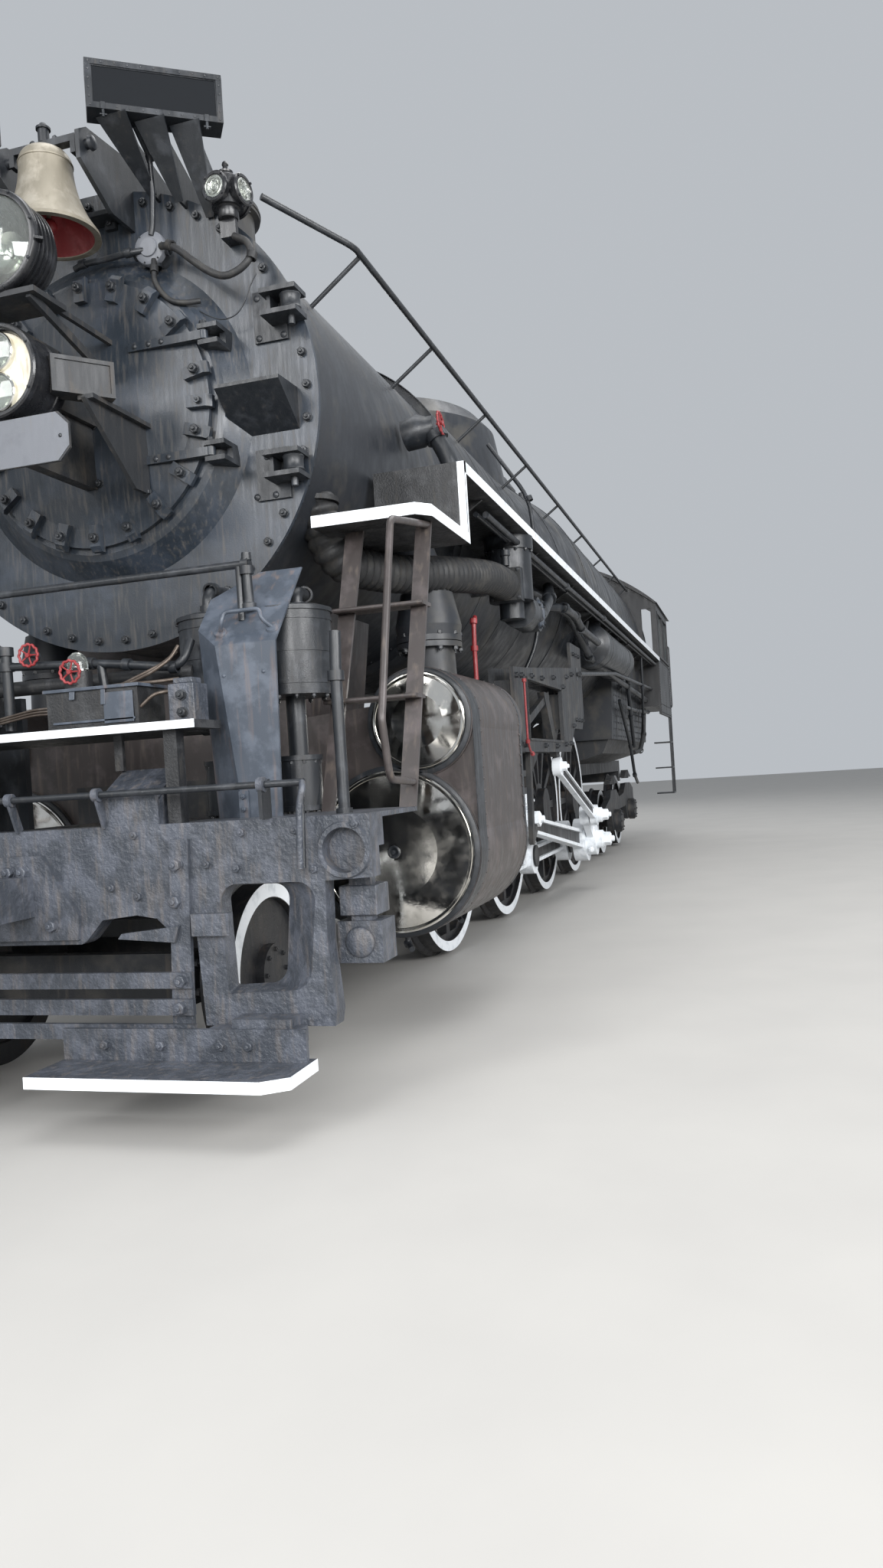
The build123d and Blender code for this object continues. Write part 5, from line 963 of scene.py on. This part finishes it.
def cylinderParts(look):
    # Covers' rims, beads and centre plug, the jacket's bands and rivets, rear heads with studs, drain cocks
    y, z, vy, vz, x = look["y"], look["z"], look["valveY"], look["valveZ"], look["frontX"]
    large, small = (x, y, z), (x, vy, vz)
    rims = [turned([(0, r), (0, r + w), (14, r + w), (20, r + w - k), (20, r + 6), (14, r)], place, ahead, sides)
            for r, w, k, place, sides in ((421, 31, 12, large, 72), (250, 30, 10, small, 56))]
    addPair("coverRims", rims)
    beads = [turned([(30, r), (36, r - 4), (36, low + 4), (30, low), (24, low), (24, r), (30, r)],
                    place, ahead, sides)
             for r, low, place, sides in ((418, 398, large, 72), (246, 228, small, 56))]
    addPair("coverBeads", beads, "polishedSteel")
    addPair("coverPlugs", [turned([(46, 34), (56, 34), (60, 28), (56, 22), (56, 0), (46, 0)], large, ahead, 24),
                           turned([(56, 0), (56, 15), (74, 12), (76, 0)], large, ahead, 6)])
    # Jacket section from the cylinder's underside up the tangent to the chest: band and rivet row
    a, b = np.radians(np.linspace(-100, 8, 26)), np.radians(np.linspace(-4, 84, 16))
    section = np.vstack([np.stack([y + look["jacketR"] * np.cos(a), z + look["jacketR"] * np.sin(a)], -1),
                         np.stack([vy + look["chestR"] * np.cos(b), vz + look["chestR"] * np.sin(b)], -1)])
    under = section - 3 * np.array([1, 0.2]) / 1.02
    over = section + [2, 0]
    for name, x0, x1 in look["bands"]:
        rows = np.stack([np.column_stack([np.full(len(section), v), points])
                         for v, points in ((x0, under), (x0, over), (x1, over), (x1, under))])
        addPair(name, hoop(rows))
    spots, at = spacedAlong(section, look["rivetGap"], 30)
    slope = np.gradient(spots, axis=0)
    outward = np.stack([0 * at, slope[:, 1], -slope[:, 0]], -1)
    for name, rowX in look["rivetRows"]:
        places = np.column_stack([np.full(len(at), rowX), spots[:, 0] + 1, spots[:, 1]])
        addPair(name, repeated(rivet, places, outward, 7), "jacketBrown")
    # Rear heads with stuffing boxes, studs round them, and the drain cocks below
    rear, back = look["rearX"], (-1, 0, 0)
    head = [(0, 400), (18, 400), (30, 380), (30, 190), (70, 170), (90, 110), (130, 100), (130, 60), (0, 60)]
    chest = [(60, 250), (78, 250), (86, 230), (86, 120), (140, 100), (140, 40), (60, 40)]
    addPair("rearHeads", [turned(head, (rear, y, z), back, 56), turned(chest, (rear, vy, vz), back, 40)],
            "castGrey")
    addPair("rearStuds", [nutsAt(circleOf((rear - 18, y, z), 388, 18), back, 13),
                          nutsAt(circleOf((rear - 80, vy, vz), 236, 12), back, 11)])
    cocks = [ringed([(v, y, z - 452), (v, y, z - 500), (v + 60, y + 40, z - 520)], 16, (0, 1), 20, 12, 7)
             for v in (1080, 2080)]
    addPair("drainCocks", cocks, sharp=50)


cylinderParts(cylinderLook)

# Red oil pipe up from the chest with its fittings, and the thin red rod beside the guide
redLook = (([(900, 1340, 1860), (900, 1340, 2060), (900, 1345, 2230), (860, 1345, 2262)], 15, (1, 2), 30, 16, 9),
           ([(150, 1490, 1896), (150, 1490, 1470), (60, 1485, 1410), (-40, 1480, 1384)], 8, (0, 1, 3), 20, 12, 8))
addPair("redLines", [ringed(*line) for line in redLook], "oxideRed", sharp=50)
print("cylinders done")

rodLook = {"axleX": [-1854 * i for i in range(4)], "axleZ": 876.5, "crank": 432.0, "leftTurn": 243,
           "rightTurn": 153, "mainRod": 3310, "wristZ": 891,
           "eccentric": (-3494, 0, 767.0), "linkFoot": (-1560, 0, 1283.0)}


def crankPin(look, turn):
    # Crank pin's x and z from its axle: crank (cos a, sin a)
    a = math.radians(look[turn])
    return np.array([look["crank"] * math.cos(a), look["crank"] * math.sin(a)])


def sideRodParts(look):
    # Dark webs between the bosses and oil cups above them
    axleX = look["axleX"]
    cup = [(0, 0), (0, 26), (34, 26), (40, 18), (40, 0)]
    for name, turn, flip in (("left", "leftTurn", joined), ("right", "rightTurn", mirrored)):
        pin = crankPin(look, turn)
        z = look["axleZ"] + pin[1]
        webs = [brick(back + pin[0] + 274, front + pin[0] - 224, 984.2, 986, z - 46, z + 46)
                for front, back in zip(axleX, axleX[1:])]
        cups = [turned(cup, (x + pin[0], 970, z + 150), skyward, 12) for x in axleX]
        addPiece(f"rodWebs_{name}", flip(joined(webs)), "wheelBlack", f"side_rod_{name}")
        addPiece(f"rodCups_{name}", flip(joined(cups)), "rodWhite", f"side_rod_{name}")


sideRodParts(rodLook)


def rodWeb(start, end, near, nearHalf, far, farHalf, y):
    # Thin dark web on a rod's face, from near after its start to far before its end
    start, end = np.array(start, float), np.array(end, float)
    length = np.linalg.norm(end - start)
    along = (end - start) / length
    outline = [(length - far, -farHalf), (length - far, farHalf), (near, nearHalf), (near, -nearHalf)]
    return slab(outline, start + [0, y, 0], along, np.array([-along[2], 0, along[0]]), -1.6)


def mainRodParts(look):
    # Dark webs in the main and eccentric rods, nuts on their pins, the clamp's and the crosshead shoe's bolts
    pin, wristZ = crankPin(look, "leftTurn"), look["wristZ"]
    mainX, mainZ = look["axleX"][2] + pin[0], look["axleZ"] + pin[1]
    wristX = mainX + math.sqrt(look["mainRod"] ** 2 - (wristZ - mainZ) ** 2)
    addPair("mainRodWebs", [rodWeb((mainX, 0, mainZ), (wristX, 0, wristZ), 246, 60, 174, 34, 1186.7),
                            rodWeb(look["eccentric"], look["linkFoot"], 142, 36, 142, 36, 1389)], "wheelBlack")
    pins = ((mainX, 1400, mainZ, 62), (-3494, 1460, 767, 48), (wristX, 1325, wristZ, 52), (-1560, 1415, 1283, 34))
    nuts = [nutsAt([place], leftward, size) for *place, size in pins]
    for dz in (-95, 95):
        nuts.append(nutsAt([(mainX + 150, 1290, mainZ + dz)], (1, 0, 0.3 * np.sign(dz)), 24))
    nuts.append(nutsAt(circleOf((wristX, 1292, wristZ), 104, 6, "y"), leftward, 12))
    disc = [(0, 0), (0, 128), (14, 124), (18, 96), (18, 0)]
    addPair("rodNuts", nuts + [turned(disc, (wristX, 1277, wristZ), leftward, 40)], "rodWhite")
    shoe = [(wristX + dx, 1279, 1030) for dx in (-180, -60, 60, 180)]
    shoe += [(wristX + dx, 1279, 800) for dx in (-140, 140)]
    addPair("crossheadBolts", nutsAt(shoe, leftward, 20), "rodWhite")


mainRodParts(rodLook)

gearLook = {"plateBolts": ((230, 1460), (230, 1930), (60, 1940), (60, 1450), (-1640, 1470), (-1640, 1960),
                           (-1900, 1480), (-2100, 1640), (-2120, 2100), (-1850, 2060), (-700, 1970),
                           (-1200, 2010), (-300, 1960), (-700, 1450), (-1200, 1450)),
            "window": (-1590, -123, 1482, 1946), "windowRim": 18,
            "arm": ((-2500, 1360, 2130), (-2380, 1360, 1960), (-1700, 1360, 1890)),
            "reachRod": ((-2500, 1475, 2130), (-5200, 1475, 2330), (-9800, 1475, 2420)),
            "guideBolts": ((960, 1262, 1120), (960, 1262, 1235), (940, 1262, 1178))}


def gearParts(look):
    # Bolts of the side plates, their window's rim, the reverse shaft with arm and rod, the guide's end bolts
    rows = [(x, 1448, z) for x in (-2300, -2450, -2600) for z in (1700, 2300)]
    addPair("gearBolts", [nutsAt([(x, 1448, z) for x, z in look["plateBolts"]], leftward, 17),
                          nutsAt(rows, leftward, 15)])
    (x0, x1, z0, z1), w = look["window"], look["windowRim"]
    rim = [brick(*edges[:2], 1446, 1456, *edges[2:]) for edges in (
        (x0, x0 + w, z0, z1), (x1 - w, x1, z0, z1), (x0, x1, z0, z0 + w), (x0, x1, z1 - w, z1))]
    addPair("gearWindowRims", rim, "frameBlack", soften=3)
    addPair("reverseShaft", [turned(band(-60, 60, 0, 62), (-2500, 1390, 2130), leftward, 24),
                             tube(look["arm"], 22, 10), tube(look["reachRod"], 22, 10)], sharp=50)
    addPair("guideBolts", nutsAt(look["guideBolts"], leftward, 13))


gearParts(gearLook)
print("rods done")

wheelLook = {"faceY": 816.5, "rimDepth": 74, "driverRadius": 876.5,
             "others": (("lead_wheels", 2972, 419), ("trail_front_wheels", -8051, 457),
                        ("trail_rear_wheels", -9829, 546))}


def wheelPaint(look):
    # White ring just proud of each tyre's outer face, and hub bolts on the smaller wheels
    y, depth, driver = look["faceY"], look["rimDepth"], look["driverRadius"]

    def paintRings(x, r, sides):
        ring = [(0, r - depth), (1.2, r - depth), (1.2, r - 4), (0, r - 4), (0, r - depth)]
        return [turned(ring, (x, side * y, r), (0, side, 0), sides) for side in (1, -1)]
    for i, x in enumerate(rodLook["axleX"]):
        addPiece(f"tyrePaint{i + 1}", paintRings(x, driver, 96), "rodWhite", f"driver_{i + 1}")
    for name, x, r in look["others"]:
        hubs = [nutsAt(circleOf((x, side * (y + 10), r), 105, 8, "y"), (0, side, 0), 9) for side in (1, -1)]
        addPiece(f"{name}Paint", paintRings(x, r, 80), "rodWhite", name)
        addPiece(f"{name}Hubs", hubs, "wheelBlack", name)


wheelPaint(wheelLook)

edgeLook = {"high": (-9870, 2016, 1628, 2852, 2912), "low": (2015, 2760, 1628, 2480, 2535),
            "deck": (3647, 862, 1530, 1564), "foot": (4035, 1332, 179, 225)}


def whiteEdges(look):
    # Painted strips on the boards' edges, with the low board's and the footboard's corners cut
    x0, x1, y, z0, z1 = look["high"]
    lowZ = look["low"][3]
    strips = [brick(x0, x1, y - 1, y + 1, z0, z1), brick(x1 - 1, x1 + 1, y - 40, y + 1, lowZ, z1),
              brick(x1 - 30, x1 + 1, y - 1, y + 1, lowZ, z1)]
    x0, x1, y, z0, z1 = look["low"]
    cut = np.array([75, -60, 0]) / math.hypot(75, 60)
    corner = slab(oblong(0, math.hypot(76, 61), 0, 2), (x1 - 75, y - 1, z0), cut, (0.625, 0.781, 0), z1 - z0)
    strips += [brick(x0, x1 - 75, y - 1, y + 1, z0, z1), corner, brick(x1 - 1, x1 + 1, 1053, y - 60, z0, z1)]
    addPair("boardEdgePaint", strips, "rodWhite")
    x, y, z0, z1 = look["deck"]
    addPiece("deckEdgePaint", brick(x - 1, x + 2, -y, y, z0, z1), "rodWhite")
    x, y, z0, z1 = look["foot"]
    corner = slab(oblong(0, 115.6, 0, 2), (x, y - 92, z1), (-0.6055, 0.7958, 0), (0.7958, 0.6055, 0), z1 - z0)
    addPair("footEdgePaint", [brick(x - 1, x + 1, 250, y - 92, z0, z1), corner,
                              brick(3717, x - 70, y - 1, y + 1, z0, z1)], "rodWhite")


whiteEdges(edgeLook)
print("wheels and edges done")

boilerLook = {"z": 3129, "crownR": 1340, "footY": 1230, "footZ": 1610, "smokeboxR": 1112,
              "bands": ((250, 1175), (-550, 1175), (-1350, 1175), (-2150, 1175), (-3275, 1258), (-4400, 1340),
                        (-5440, 1340), (-6480, 1340)),
              "hoopX": (-7580, -8680, -9780, -10880), "plugs": (-7100, -8100, -9100),
              "stayRows": 7, "stayColumns": 26, "stayX": -6700, "stayZ": 1600, "stayGap": 155.0}


def boilerParts(look):
    # Jacket bands, smokebox rivets, staybolts low on the firebox and washout plugs
    z, crownR, footY, footZ = look["z"], look["crownR"], look["footY"], look["footZ"]
    bands = [turned(band(-38, 38, r - 2, r + 3), (x, 0, z), ahead, 96) for x, r in look["bands"]]
    addPiece("jacketBands", bands, "jacketBlack")
    # Firebox bands follow the crown's arc and the straight sides
    a = np.radians(np.linspace(-15.2, 195.2, 60))
    crown = np.stack([crownR * np.cos(a), z + crownR * np.sin(a)], -1)
    section = np.vstack([[[footY, footZ]], crown, [[-footY, footZ]]])
    normal = section - [0, z - 200]
    normal /= np.linalg.norm(normal, axis=1, keepdims=True)
    hoops = [hoop(np.stack([np.column_stack([np.full(len(section), x + dx), section + lift * normal])
                            for dx, lift in ((-38, -2), (-38, 4), (38, 4), (38, -2))])) for x in look["hoopX"]]
    addPiece("fireboxBands", hoops, "jacketBlack")
    spots = np.vstack([circleOf((x, 0, z), look["smokeboxR"], 80) for x in (300, 2700)])
    addRivets("smokeboxRivets", spots, spots * [0, 1, 1] - [0, 0, z], 11, "jacketBlack")
    # Staybolts in rows on the lower firebox sides
    rows, columns = np.meshgrid(np.arange(look["stayRows"]), np.arange(look["stayColumns"]))
    share = 0.04 + rows.ravel() * 0.075
    side = np.column_stack([look["stayX"] - columns.ravel() * look["stayGap"], footY + share * 64,
                            look["stayZ"] + share * 1180])
    addPair("stayBolts", repeated(rivet, side, (0, 1, -0.05), 15), "jacketBlack")
    addPair("washoutPlugs", nutsAt([(x, 1262, 2300) for x in look["plugs"]], leftward, 34))


boilerParts(boilerLook)

topLook = {"stackX": 1580, "stackBolts": 392, "flange": 26, "beads": ((4718, 334, 18), (4330, 299, 20)),
           "sandX": (-2900, -2100), "steamX": -4700, "valve": (1450, 1180, 3278), "wheel": (1500, 1375, 3300),
           "pipe": ((1450, 1330, 3240), (1450, 1400, 3100), (1450, 1430, 2914))}


def topParts(look):
    # Stack's base bolts and beads, the domes' hatches with bars and nuts, check valves with pipe and wheel
    angle = np.radians(np.arange(16) * 22.5)
    reach, x, boilerZ, shell = look["stackBolts"], look["stackX"], boilerLook["z"], boilerLook["smokeboxR"]
    places = np.stack([x + reach * np.cos(angle), reach * np.sin(angle),
                       boilerZ + np.sqrt(shell**2 - (reach * np.sin(angle)) ** 2) + look["flange"]], -1)
    addNuts("stackBolts", places, skyward, 14, "jacketBlack")
    beads = [turned([(h, r), (h + 4, r + 7), (h + wide - 4, r + 7), (h + wide, r)], (x, 0, 0), skyward, 64)
             for h, r, wide in look["beads"]]
    addPiece("stackBeads", beads, "jacketBlack")
    sandLid = [(4694, 0), (4694, 190), (4716, 190), (4724, 176), (4724, 0)]
    steamLid = [(4694, 0), (4694, 210), (4712, 210), (4722, 190), (4722, 0)]
    hatch = [turned(sandLid, (x, 0, 0), skyward, 40) for x in look["sandX"]]
    hatch.append(turned(steamLid, (look["steamX"], 0, 0), skyward, 40))
    hatch += [beam((x - 170, 0, 4728), (x + 170, 0, 4728), 44, 14, skyward) for x in look["sandX"]]
    addPiece("domeHatches", hatch, "jacketBlack")
    nuts = np.vstack([circleOf((x, 0, 4716), 172, 10, "z") for x in look["sandX"]]
                     + [circleOf((look["steamX"], 0, 4712), 190, 14, "z")])
    addNuts("hatchNuts", nuts, skyward, 9, "jacketBlack")
    body = [(-40, 0), (-40, 90), (60, 96), (110, 70), (150, 66), (150, 0)]
    addPair("checkValves", [turned(body, look["valve"], (0, 1, 0.15), 28),
                            ringed(look["pipe"], 52, (0, 2), 80, 24, 16)], sharp=45)
    addPair("checkWheels", handwheel(look["wheel"], (0, 1, 0.1), 62, 7, 4), "oxideRed", sharp=50)


topParts(topLook)

runLook = {
    # name: (radius, collar places, points), in pairs on both sides
    "sandPipes": (19, (1,), ((-2100, 830, 4250), (-2050, 1190, 3700), (-2000, 1235, 3100), (-1960, 1200, 2400),
                             (-1760, 880, 1700), (-1300, 760, 900), (-1150, 750, 420))),
    "feedPipe": (38, (1, 3), ((260, 1300, 2700), (-900, 1330, 2720), (-2900, 1350, 2740), (-3700, 1400, 2400),
                              (-6800, 1400, 2300), (-9800, 1380, 2250))),
    "airPipe": (20, (1, 2), ((1300, 1560, 2790), (-1500, 1560, 2790), (-3800, 1560, 2800), (-9800, 1560, 2800))),
    "secondAirPipe": (16, (1, 2), ((1300, 1500, 2800), (-1800, 1500, 2800), (-6400, 1505, 2805),
                                   (-9800, 1505, 2805))),
    "drainLine": (22, (1, 2), ((-6700, 1330, 2100), (-7600, 1340, 1500), (-7900, 1340, 1100), (-8600, 1300, 980))),
    "elbowPipe": (36, (1, 2, 3), ((-1500, 1330, 2640), (-1700, 1500, 2640), (-2300, 1500, 2640),
                                  (-2600, 1500, 2560), (-3700, 1500, 2540))),
    "blowPipe": (26, (1, 2), ((-6900, 1420, 2790), (-7000, 1420, 2300), (-7300, 1400, 1900), (-7700, 1380, 1500))),
    "washPipe": (18, (1, 2), ((-8200, 1500, 2790), (-8250, 1490, 2350), (-8500, 1450, 1950), (-8900, 1400, 1700))),
    "levelPipe": (24, (1, 2), ((-6700, 1400, 2010), (-8000, 1400, 2010), (-9800, 1400, 2060))),
    "injectorPipe": (34, (1, 2), ((-9800, 1340, 2100), (-9300, 1360, 1700), (-8900, 1340, 1450),
                                  (-8300, 1300, 1420))),
}
for name, (radius, collars, points) in runLook.items():
    finish = "laggingTape" if name == "injectorPipe" else "fittingBlack"
    addPair(name, ringed(points, radius, collars, 160, 22, 10), finish, sharp=50)

laggingLook = {"path": ((2480, 960, 2700), (2440, 1030, 2370), (2050, 1190, 2360), (1450, 1400, 2430),
                        (900, 1470, 2495), (484, 1470, 2510)), "bend": 170, "core": 92, "wrap": 13, "pitch": 50}


def laggedPipeSkin(look):
    # Wound tape: radius core + wrap |sin(pi s / pitch)| along the pipe's line
    fine, at = spacedAlong(bentLine(look["path"], look["bend"], 10), look["pitch"] / 8)
    skin = tube(fine, look["core"] + look["wrap"] * np.abs(np.sin(np.pi * at / look["pitch"])), 28)
    ends = [brick(470, 498, 1362, 1578, 2402, 2618),
            turned(band(0, 24, 0, 126), (2480, 960, 2690), (0, 0, -1), 32)]
    lagging = addPiece("laggingSkin", [skin] + ends, "laggingTape", sharp=70)
    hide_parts("lagged_pipe")
    corners = [(484, 1470 + dy, 2510 + dz) for dy in (-92, 92) for dz in (-92, 92)]
    addPiece("laggingFlangeNuts", nutsAt(corners, ahead, 13))


laggedPipeSkin(laggingLook)

hotPumpLook = {"x": 300, "y": 1470, "volute": (-100, 1580, 2376),
               "outlet": ((-220, 1490, 2376), (-600, 1490, 2420), (-1100, 1480, 2640), (-1300, 1440, 2760))}


def hotPumpParts(look):
    # Flange nuts, the volute's round cover with its bolts, and the pump's oil cup and pipes
    x, y, (vx, vy, vz) = look["x"], look["y"], look["volute"]
    addNuts("hotPumpNuts", circleOf((x, y, 2760), 156, 12, "z"), (0, 0, -1), 10)
    cover = [(0, 0), (0, 104), (14, 104), (20, 92), (20, 44), (34, 40), (34, 0)]
    addPiece("voluteCover", turned(cover, (vx, vy, vz), leftward, 36), "shieldGrey")
    addNuts("voluteNuts", circleOf((vx, vy + 14, vz), 94, 10, "y"), leftward, 9)
    oil = [(x, y + 60, 2760), (x + 10, y + 120, 2640), (x - 60, y + 130, 2560)]
    cup = [(0, 0), (0, 26), (60, 26), (66, 34), (100, 30), (104, 0)]
    addPiece("hotPumpPipes", [ringed(oil, 13, (0, 1), 40, 14, 7), ringed(look["outlet"], 46, (0, 2), 160, 24, 14),
                              turned(cup, (560, 1500, 2620), skyward, 16)], sharp=50)


hotPumpParts(hotPumpLook)

# Nuts above and below the steam pipe's joint: height, direction
jointLook = ((2062, 1), (1995, -1))
addPair("jointNuts", [nutsAt(circleOf((1600, 1255, z), 172, 10, "z"), (0, 0, way), 15) for z, way in jointLook])

reservoirLook = {"y": 1345, "z": 2560, "straps": (-4400, -6000), "seams": (-4020, -6380),
                 "pipe": ((-3880, 1345, 2560), (-3760, 1345, 2600), (-3700, 1400, 2780))}


def reservoirParts(look):
    # Straps round the drums, seam rings and the pipe at the front end
    strap, seam = band(-30, 30, 234, 240), [(-6, 233), (-3, 239), (3, 239), (6, 233)]
    rings = [turned(profile, (x, look["y"], look["z"]), ahead, 56)
             for profile, places in ((strap, look["straps"]), (seam, look["seams"])) for x in places]
    addPair("reservoirStraps", rings + [ringed(look["pipe"], 24, (0, 1), 50, 18, 9)], sharp=45)


reservoirParts(reservoirLook)
print("boiler done")

cabLook = {"rear": -11970, "front": -9870, "halfWidth": 1612, "low": 2020, "eave": 3774,
           "windows": ((-11790, -10970), (-10790, -10050)), "sill": 2960, "head": 3640,
           "frame": 30, "postX": -10880,
           "treads": (700, 1140, 1580), "hangers": (-11950, -11560), "gaugeX": -10972,
           "gauges": ((-360, 3700), (-120, 3700), (140, 3700), (380, 3690), (-250, 3520), (250, 3520))}


def cabParts(look):
    # Window frames and panes, rivet rows, grab irons and hanging steps at the rear, roof hatch, gauges inside
    y, z0, z1, rear, front, low = (look[key] for key in ("halfWidth", "sill", "head", "rear", "front", "low"))
    frames, panes, w = [], [], look["frame"]
    for x0, x1 in look["windows"]:
        middle = (x0 + x1) / 2
        frames += [brick(*edges[:2], y, y + 10, *edges[2:]) for edges in (
            (x0 - w, x1 + w, z0 - w, z0), (x0 - w, x1 + w, z1, z1 + w), (x0 - w, x0, z0, z1), (x1, x1 + w, z0, z1))]
        frames += [brick(middle - 14, middle + 14, y - 26, y - 10, z0, z1),
                   brick(x0 - 40, x1 + 40, y, y + 26, z0 - 46, z0 - w)]
        panes.append(brick(x0, x1, y - 24, y - 18, z0, z1))
    addPair("cabFrames", frames, "cabBlack", soften=2)
    addPair("cabPanes", panes, "cabPane")
    rows = [np.column_stack([np.linspace(rear + 25, front - 25, 34), np.full(34, y), np.full(34, z)])
            for z in (low + 30, 2180, 2880, look["eave"] - 20)]
    rows += [np.column_stack([np.full(20, x), np.full(20, y), np.linspace(low + 60, 2860, 20)])
             for x in (rear + 25, front - 25, look["postX"])]
    addPair("cabRivets", repeated(rivet, np.vstack(rows), leftward, 8), "cabBlack")
    grab = [(rear + 60, y, 2200), (rear + 60, y + 20, 2230), (rear + 60, y + 20, 3250), (rear + 60, y, 3280)]
    irons = [tube(bentLine(grab, 20), 13, 10)]
    irons += [brick(-11940, -11560, y - 300, y, z, z + 24) for z in look["treads"]]
    irons += [brick(x, x + 22, y - 30, y, look["treads"][0], low) for x in look["hangers"]]
    addPair("cabSteps", irons, soften=2)
    hatch = [brick(-11500, -10600, -420, 420, 4598, 4634), brick(-11540, -10560, -460, -430, 4580, 4622),
             brick(-11540, -10560, 430, 460, 4580, 4622)]
    addPiece("cabHatch", hatch, "cabBlack", soften=4)
    gauge = [(0, 0), (0, 84), (26, 84), (30, 76), (22, 70), (22, 0)]
    addPiece("cabGauges", [turned(gauge, (look["gaugeX"], gy, gz), (-1, 0, 0), 32) for gy, gz in look["gauges"]])


cabParts(cabLook)
print("cab done")

springLook = {"leaves": 7, "half": 420, "shorter": 46, "pitch": 15, "thick": 13, "inner": 925, "outer": 1015,
              "springs": ((-8051, 990), (-9829, 1050)),
              "journals": ((-8051, 457), (-9829, 546)), "truckX": (2700, 2780, 3160, 3240), "truckZ": (380, 510)}


def springParts(look):
    # Leaf springs over the trailing axles, journal covers, and the leading truck's bolts
    leaves = []
    for x, z in look["springs"]:
        for i in range(look["leaves"]):
            half, low = look["half"] - look["shorter"] * i, z + look["pitch"] * i
            leaves.append(brick(x - half, x + half, look["inner"], look["outer"], low, low + look["thick"]))
        leaves.append(brick(x - 40, x + 40, look["inner"] - 10, look["outer"] + 10, z - 14, z + 116))
    addPair("trailSprings", leaves, "frameBlack", "trailing_truck", soften=1.5)
    cap = [(0, 0), (0, 150), (16, 150), (28, 110), (28, 0)]
    caps = [turned(cap, (x, 1090, z), leftward, 40) for x, z in look["journals"]]
    addPair("journalCaps", caps, "frameBlack", "trailing_truck")
    bolts = [nutsAt(circleOf((x, 1106, z), 128, 8, "y"), leftward, 12) for x, z in look["journals"]]
    addPair("journalBolts", bolts, "frameBlack", "trailing_truck")
    nuts = nutsAt([(x, 560, z) for x in look["truckX"] for z in look["truckZ"]], leftward, 16)
    addPair("truckBolts", nuts, "frameBlack", "lead_truck")


springParts(springLook)
print("running gear done")

cameraLook = {"place": (7497, 3004, 1277.4), "yaw": 16.366, "pitch": -0.5, "roll": -3.6465, "focalPixels": 1404.4,
              "tall": 2048}


def addCamera(look):
    # Looks back along the engine and a little inward; the lens is set from the photograph's focal length
    yaw, pitch, roll = (math.radians(look[k]) for k in ("yaw", "pitch", "roll"))
    forward = Vector((-math.cos(pitch) * math.cos(yaw), -math.cos(pitch) * math.sin(yaw), math.sin(pitch)))
    right = forward.cross(Vector((0, 0, 1))).normalized()
    up = right.cross(forward)
    across = right * math.cos(roll) + up * math.sin(roll)
    upward = up * math.cos(roll) - right * math.sin(roll)
    data = bpy.data.cameras.new("photoView")
    data.sensor_width, data.lens = 36, 36 * look["focalPixels"] / look["tall"]
    data.clip_start, data.clip_end = 0.05, 200
    camera = bpy.data.objects.new("photoView", data)
    camera.matrix_world = Matrix((across, upward, -forward)).transposed().to_4x4()
    camera.location = (np.array(look["place"]) + frameShift) / 1000
    bpy.context.scene.collection.objects.link(camera)
    bpy.context.scene.camera = camera


addCamera(cameraLook)

floorLook = {"half": 60, "light": "#b2b0ac", "dark": "#a7a5a2", "roughness": 0.85}


def addFloor(look):
    # Plain pale floor, not part of the engine
    half = look["half"]
    mesh = bpy.data.meshes.new("floor")
    mesh.from_pydata([(u, v, 0) for u, v in oblong(-half, half, -half, half)], [], [(0, 1, 2, 3)])
    floor = bpy.data.objects.new("floor", mesh)
    bpy.context.scene.collection.objects.link(floor)
    tree, shader, place = newFinish("paleFloor")
    cloud = addNode(tree, "ShaderNodeTexNoise", {"Scale": 1.5, "Detail": 4.0}, {"Vector": place})
    tint = addNode(tree, "ShaderNodeMix", {"data_type": "RGBA", 6: linearColour(look["dark"]),
                                           7: linearColour(look["light"])}, {0: cloud})
    feedNode(tree, shader, {"Roughness": look["roughness"]}, {"Base Color": tint.outputs[2]})
    mesh.materials.append(finishes["paleFloor"])


addFloor(floorLook)

# Softboxes: place and target in metres, sides in metres, power in watts
lightLook = {
    "side": {"place": (14, 16, 7), "target": (3, 0, 2.2), "size": (12, 7), "power": 3300},
    "front": {"place": (20, 5, 5), "target": (4, 0, 2.0), "size": (7, 4), "power": 1500},
    "glint": {"place": (19, -4, 8), "target": (4, 0, 3.0), "size": (5, 6), "power": 800},
    "top": {"place": (2, 3, 15), "target": (1, 0, 2), "size": (18, 9), "power": 1700},
    "rear": {"place": (-16, -10, 9), "target": (-2, 0, 2), "size": (10, 8), "power": 900},
}
roomLook = {"colour": "#d3d8de", "strength": 0.75}


def addLights(looks, room):
    for name, look in looks.items():
        data = bpy.data.lights.new(name, "AREA")
        data.shape, data.size, data.size_y, data.energy = "RECTANGLE", *look["size"], look["power"]
        light = bpy.data.objects.new(name, data)
        light.location = look["place"]
        light.rotation_euler = (Vector(look["target"]) - Vector(look["place"])).to_track_quat("-Z", "Y").to_euler()
        bpy.context.scene.collection.objects.link(light)
    world = bpy.data.worlds.new("paleRoom")
    bpy.context.scene.world = world
    world.use_nodes = True
    feedNode(world.node_tree, world.node_tree.nodes["Background"],
             {"Color": linearColour(room["colour"]), "Strength": room["strength"]}, {})


addLights(lightLook, roomLook)
bpy.context.scene.view_settings.view_transform = "Standard"
print("stage set")
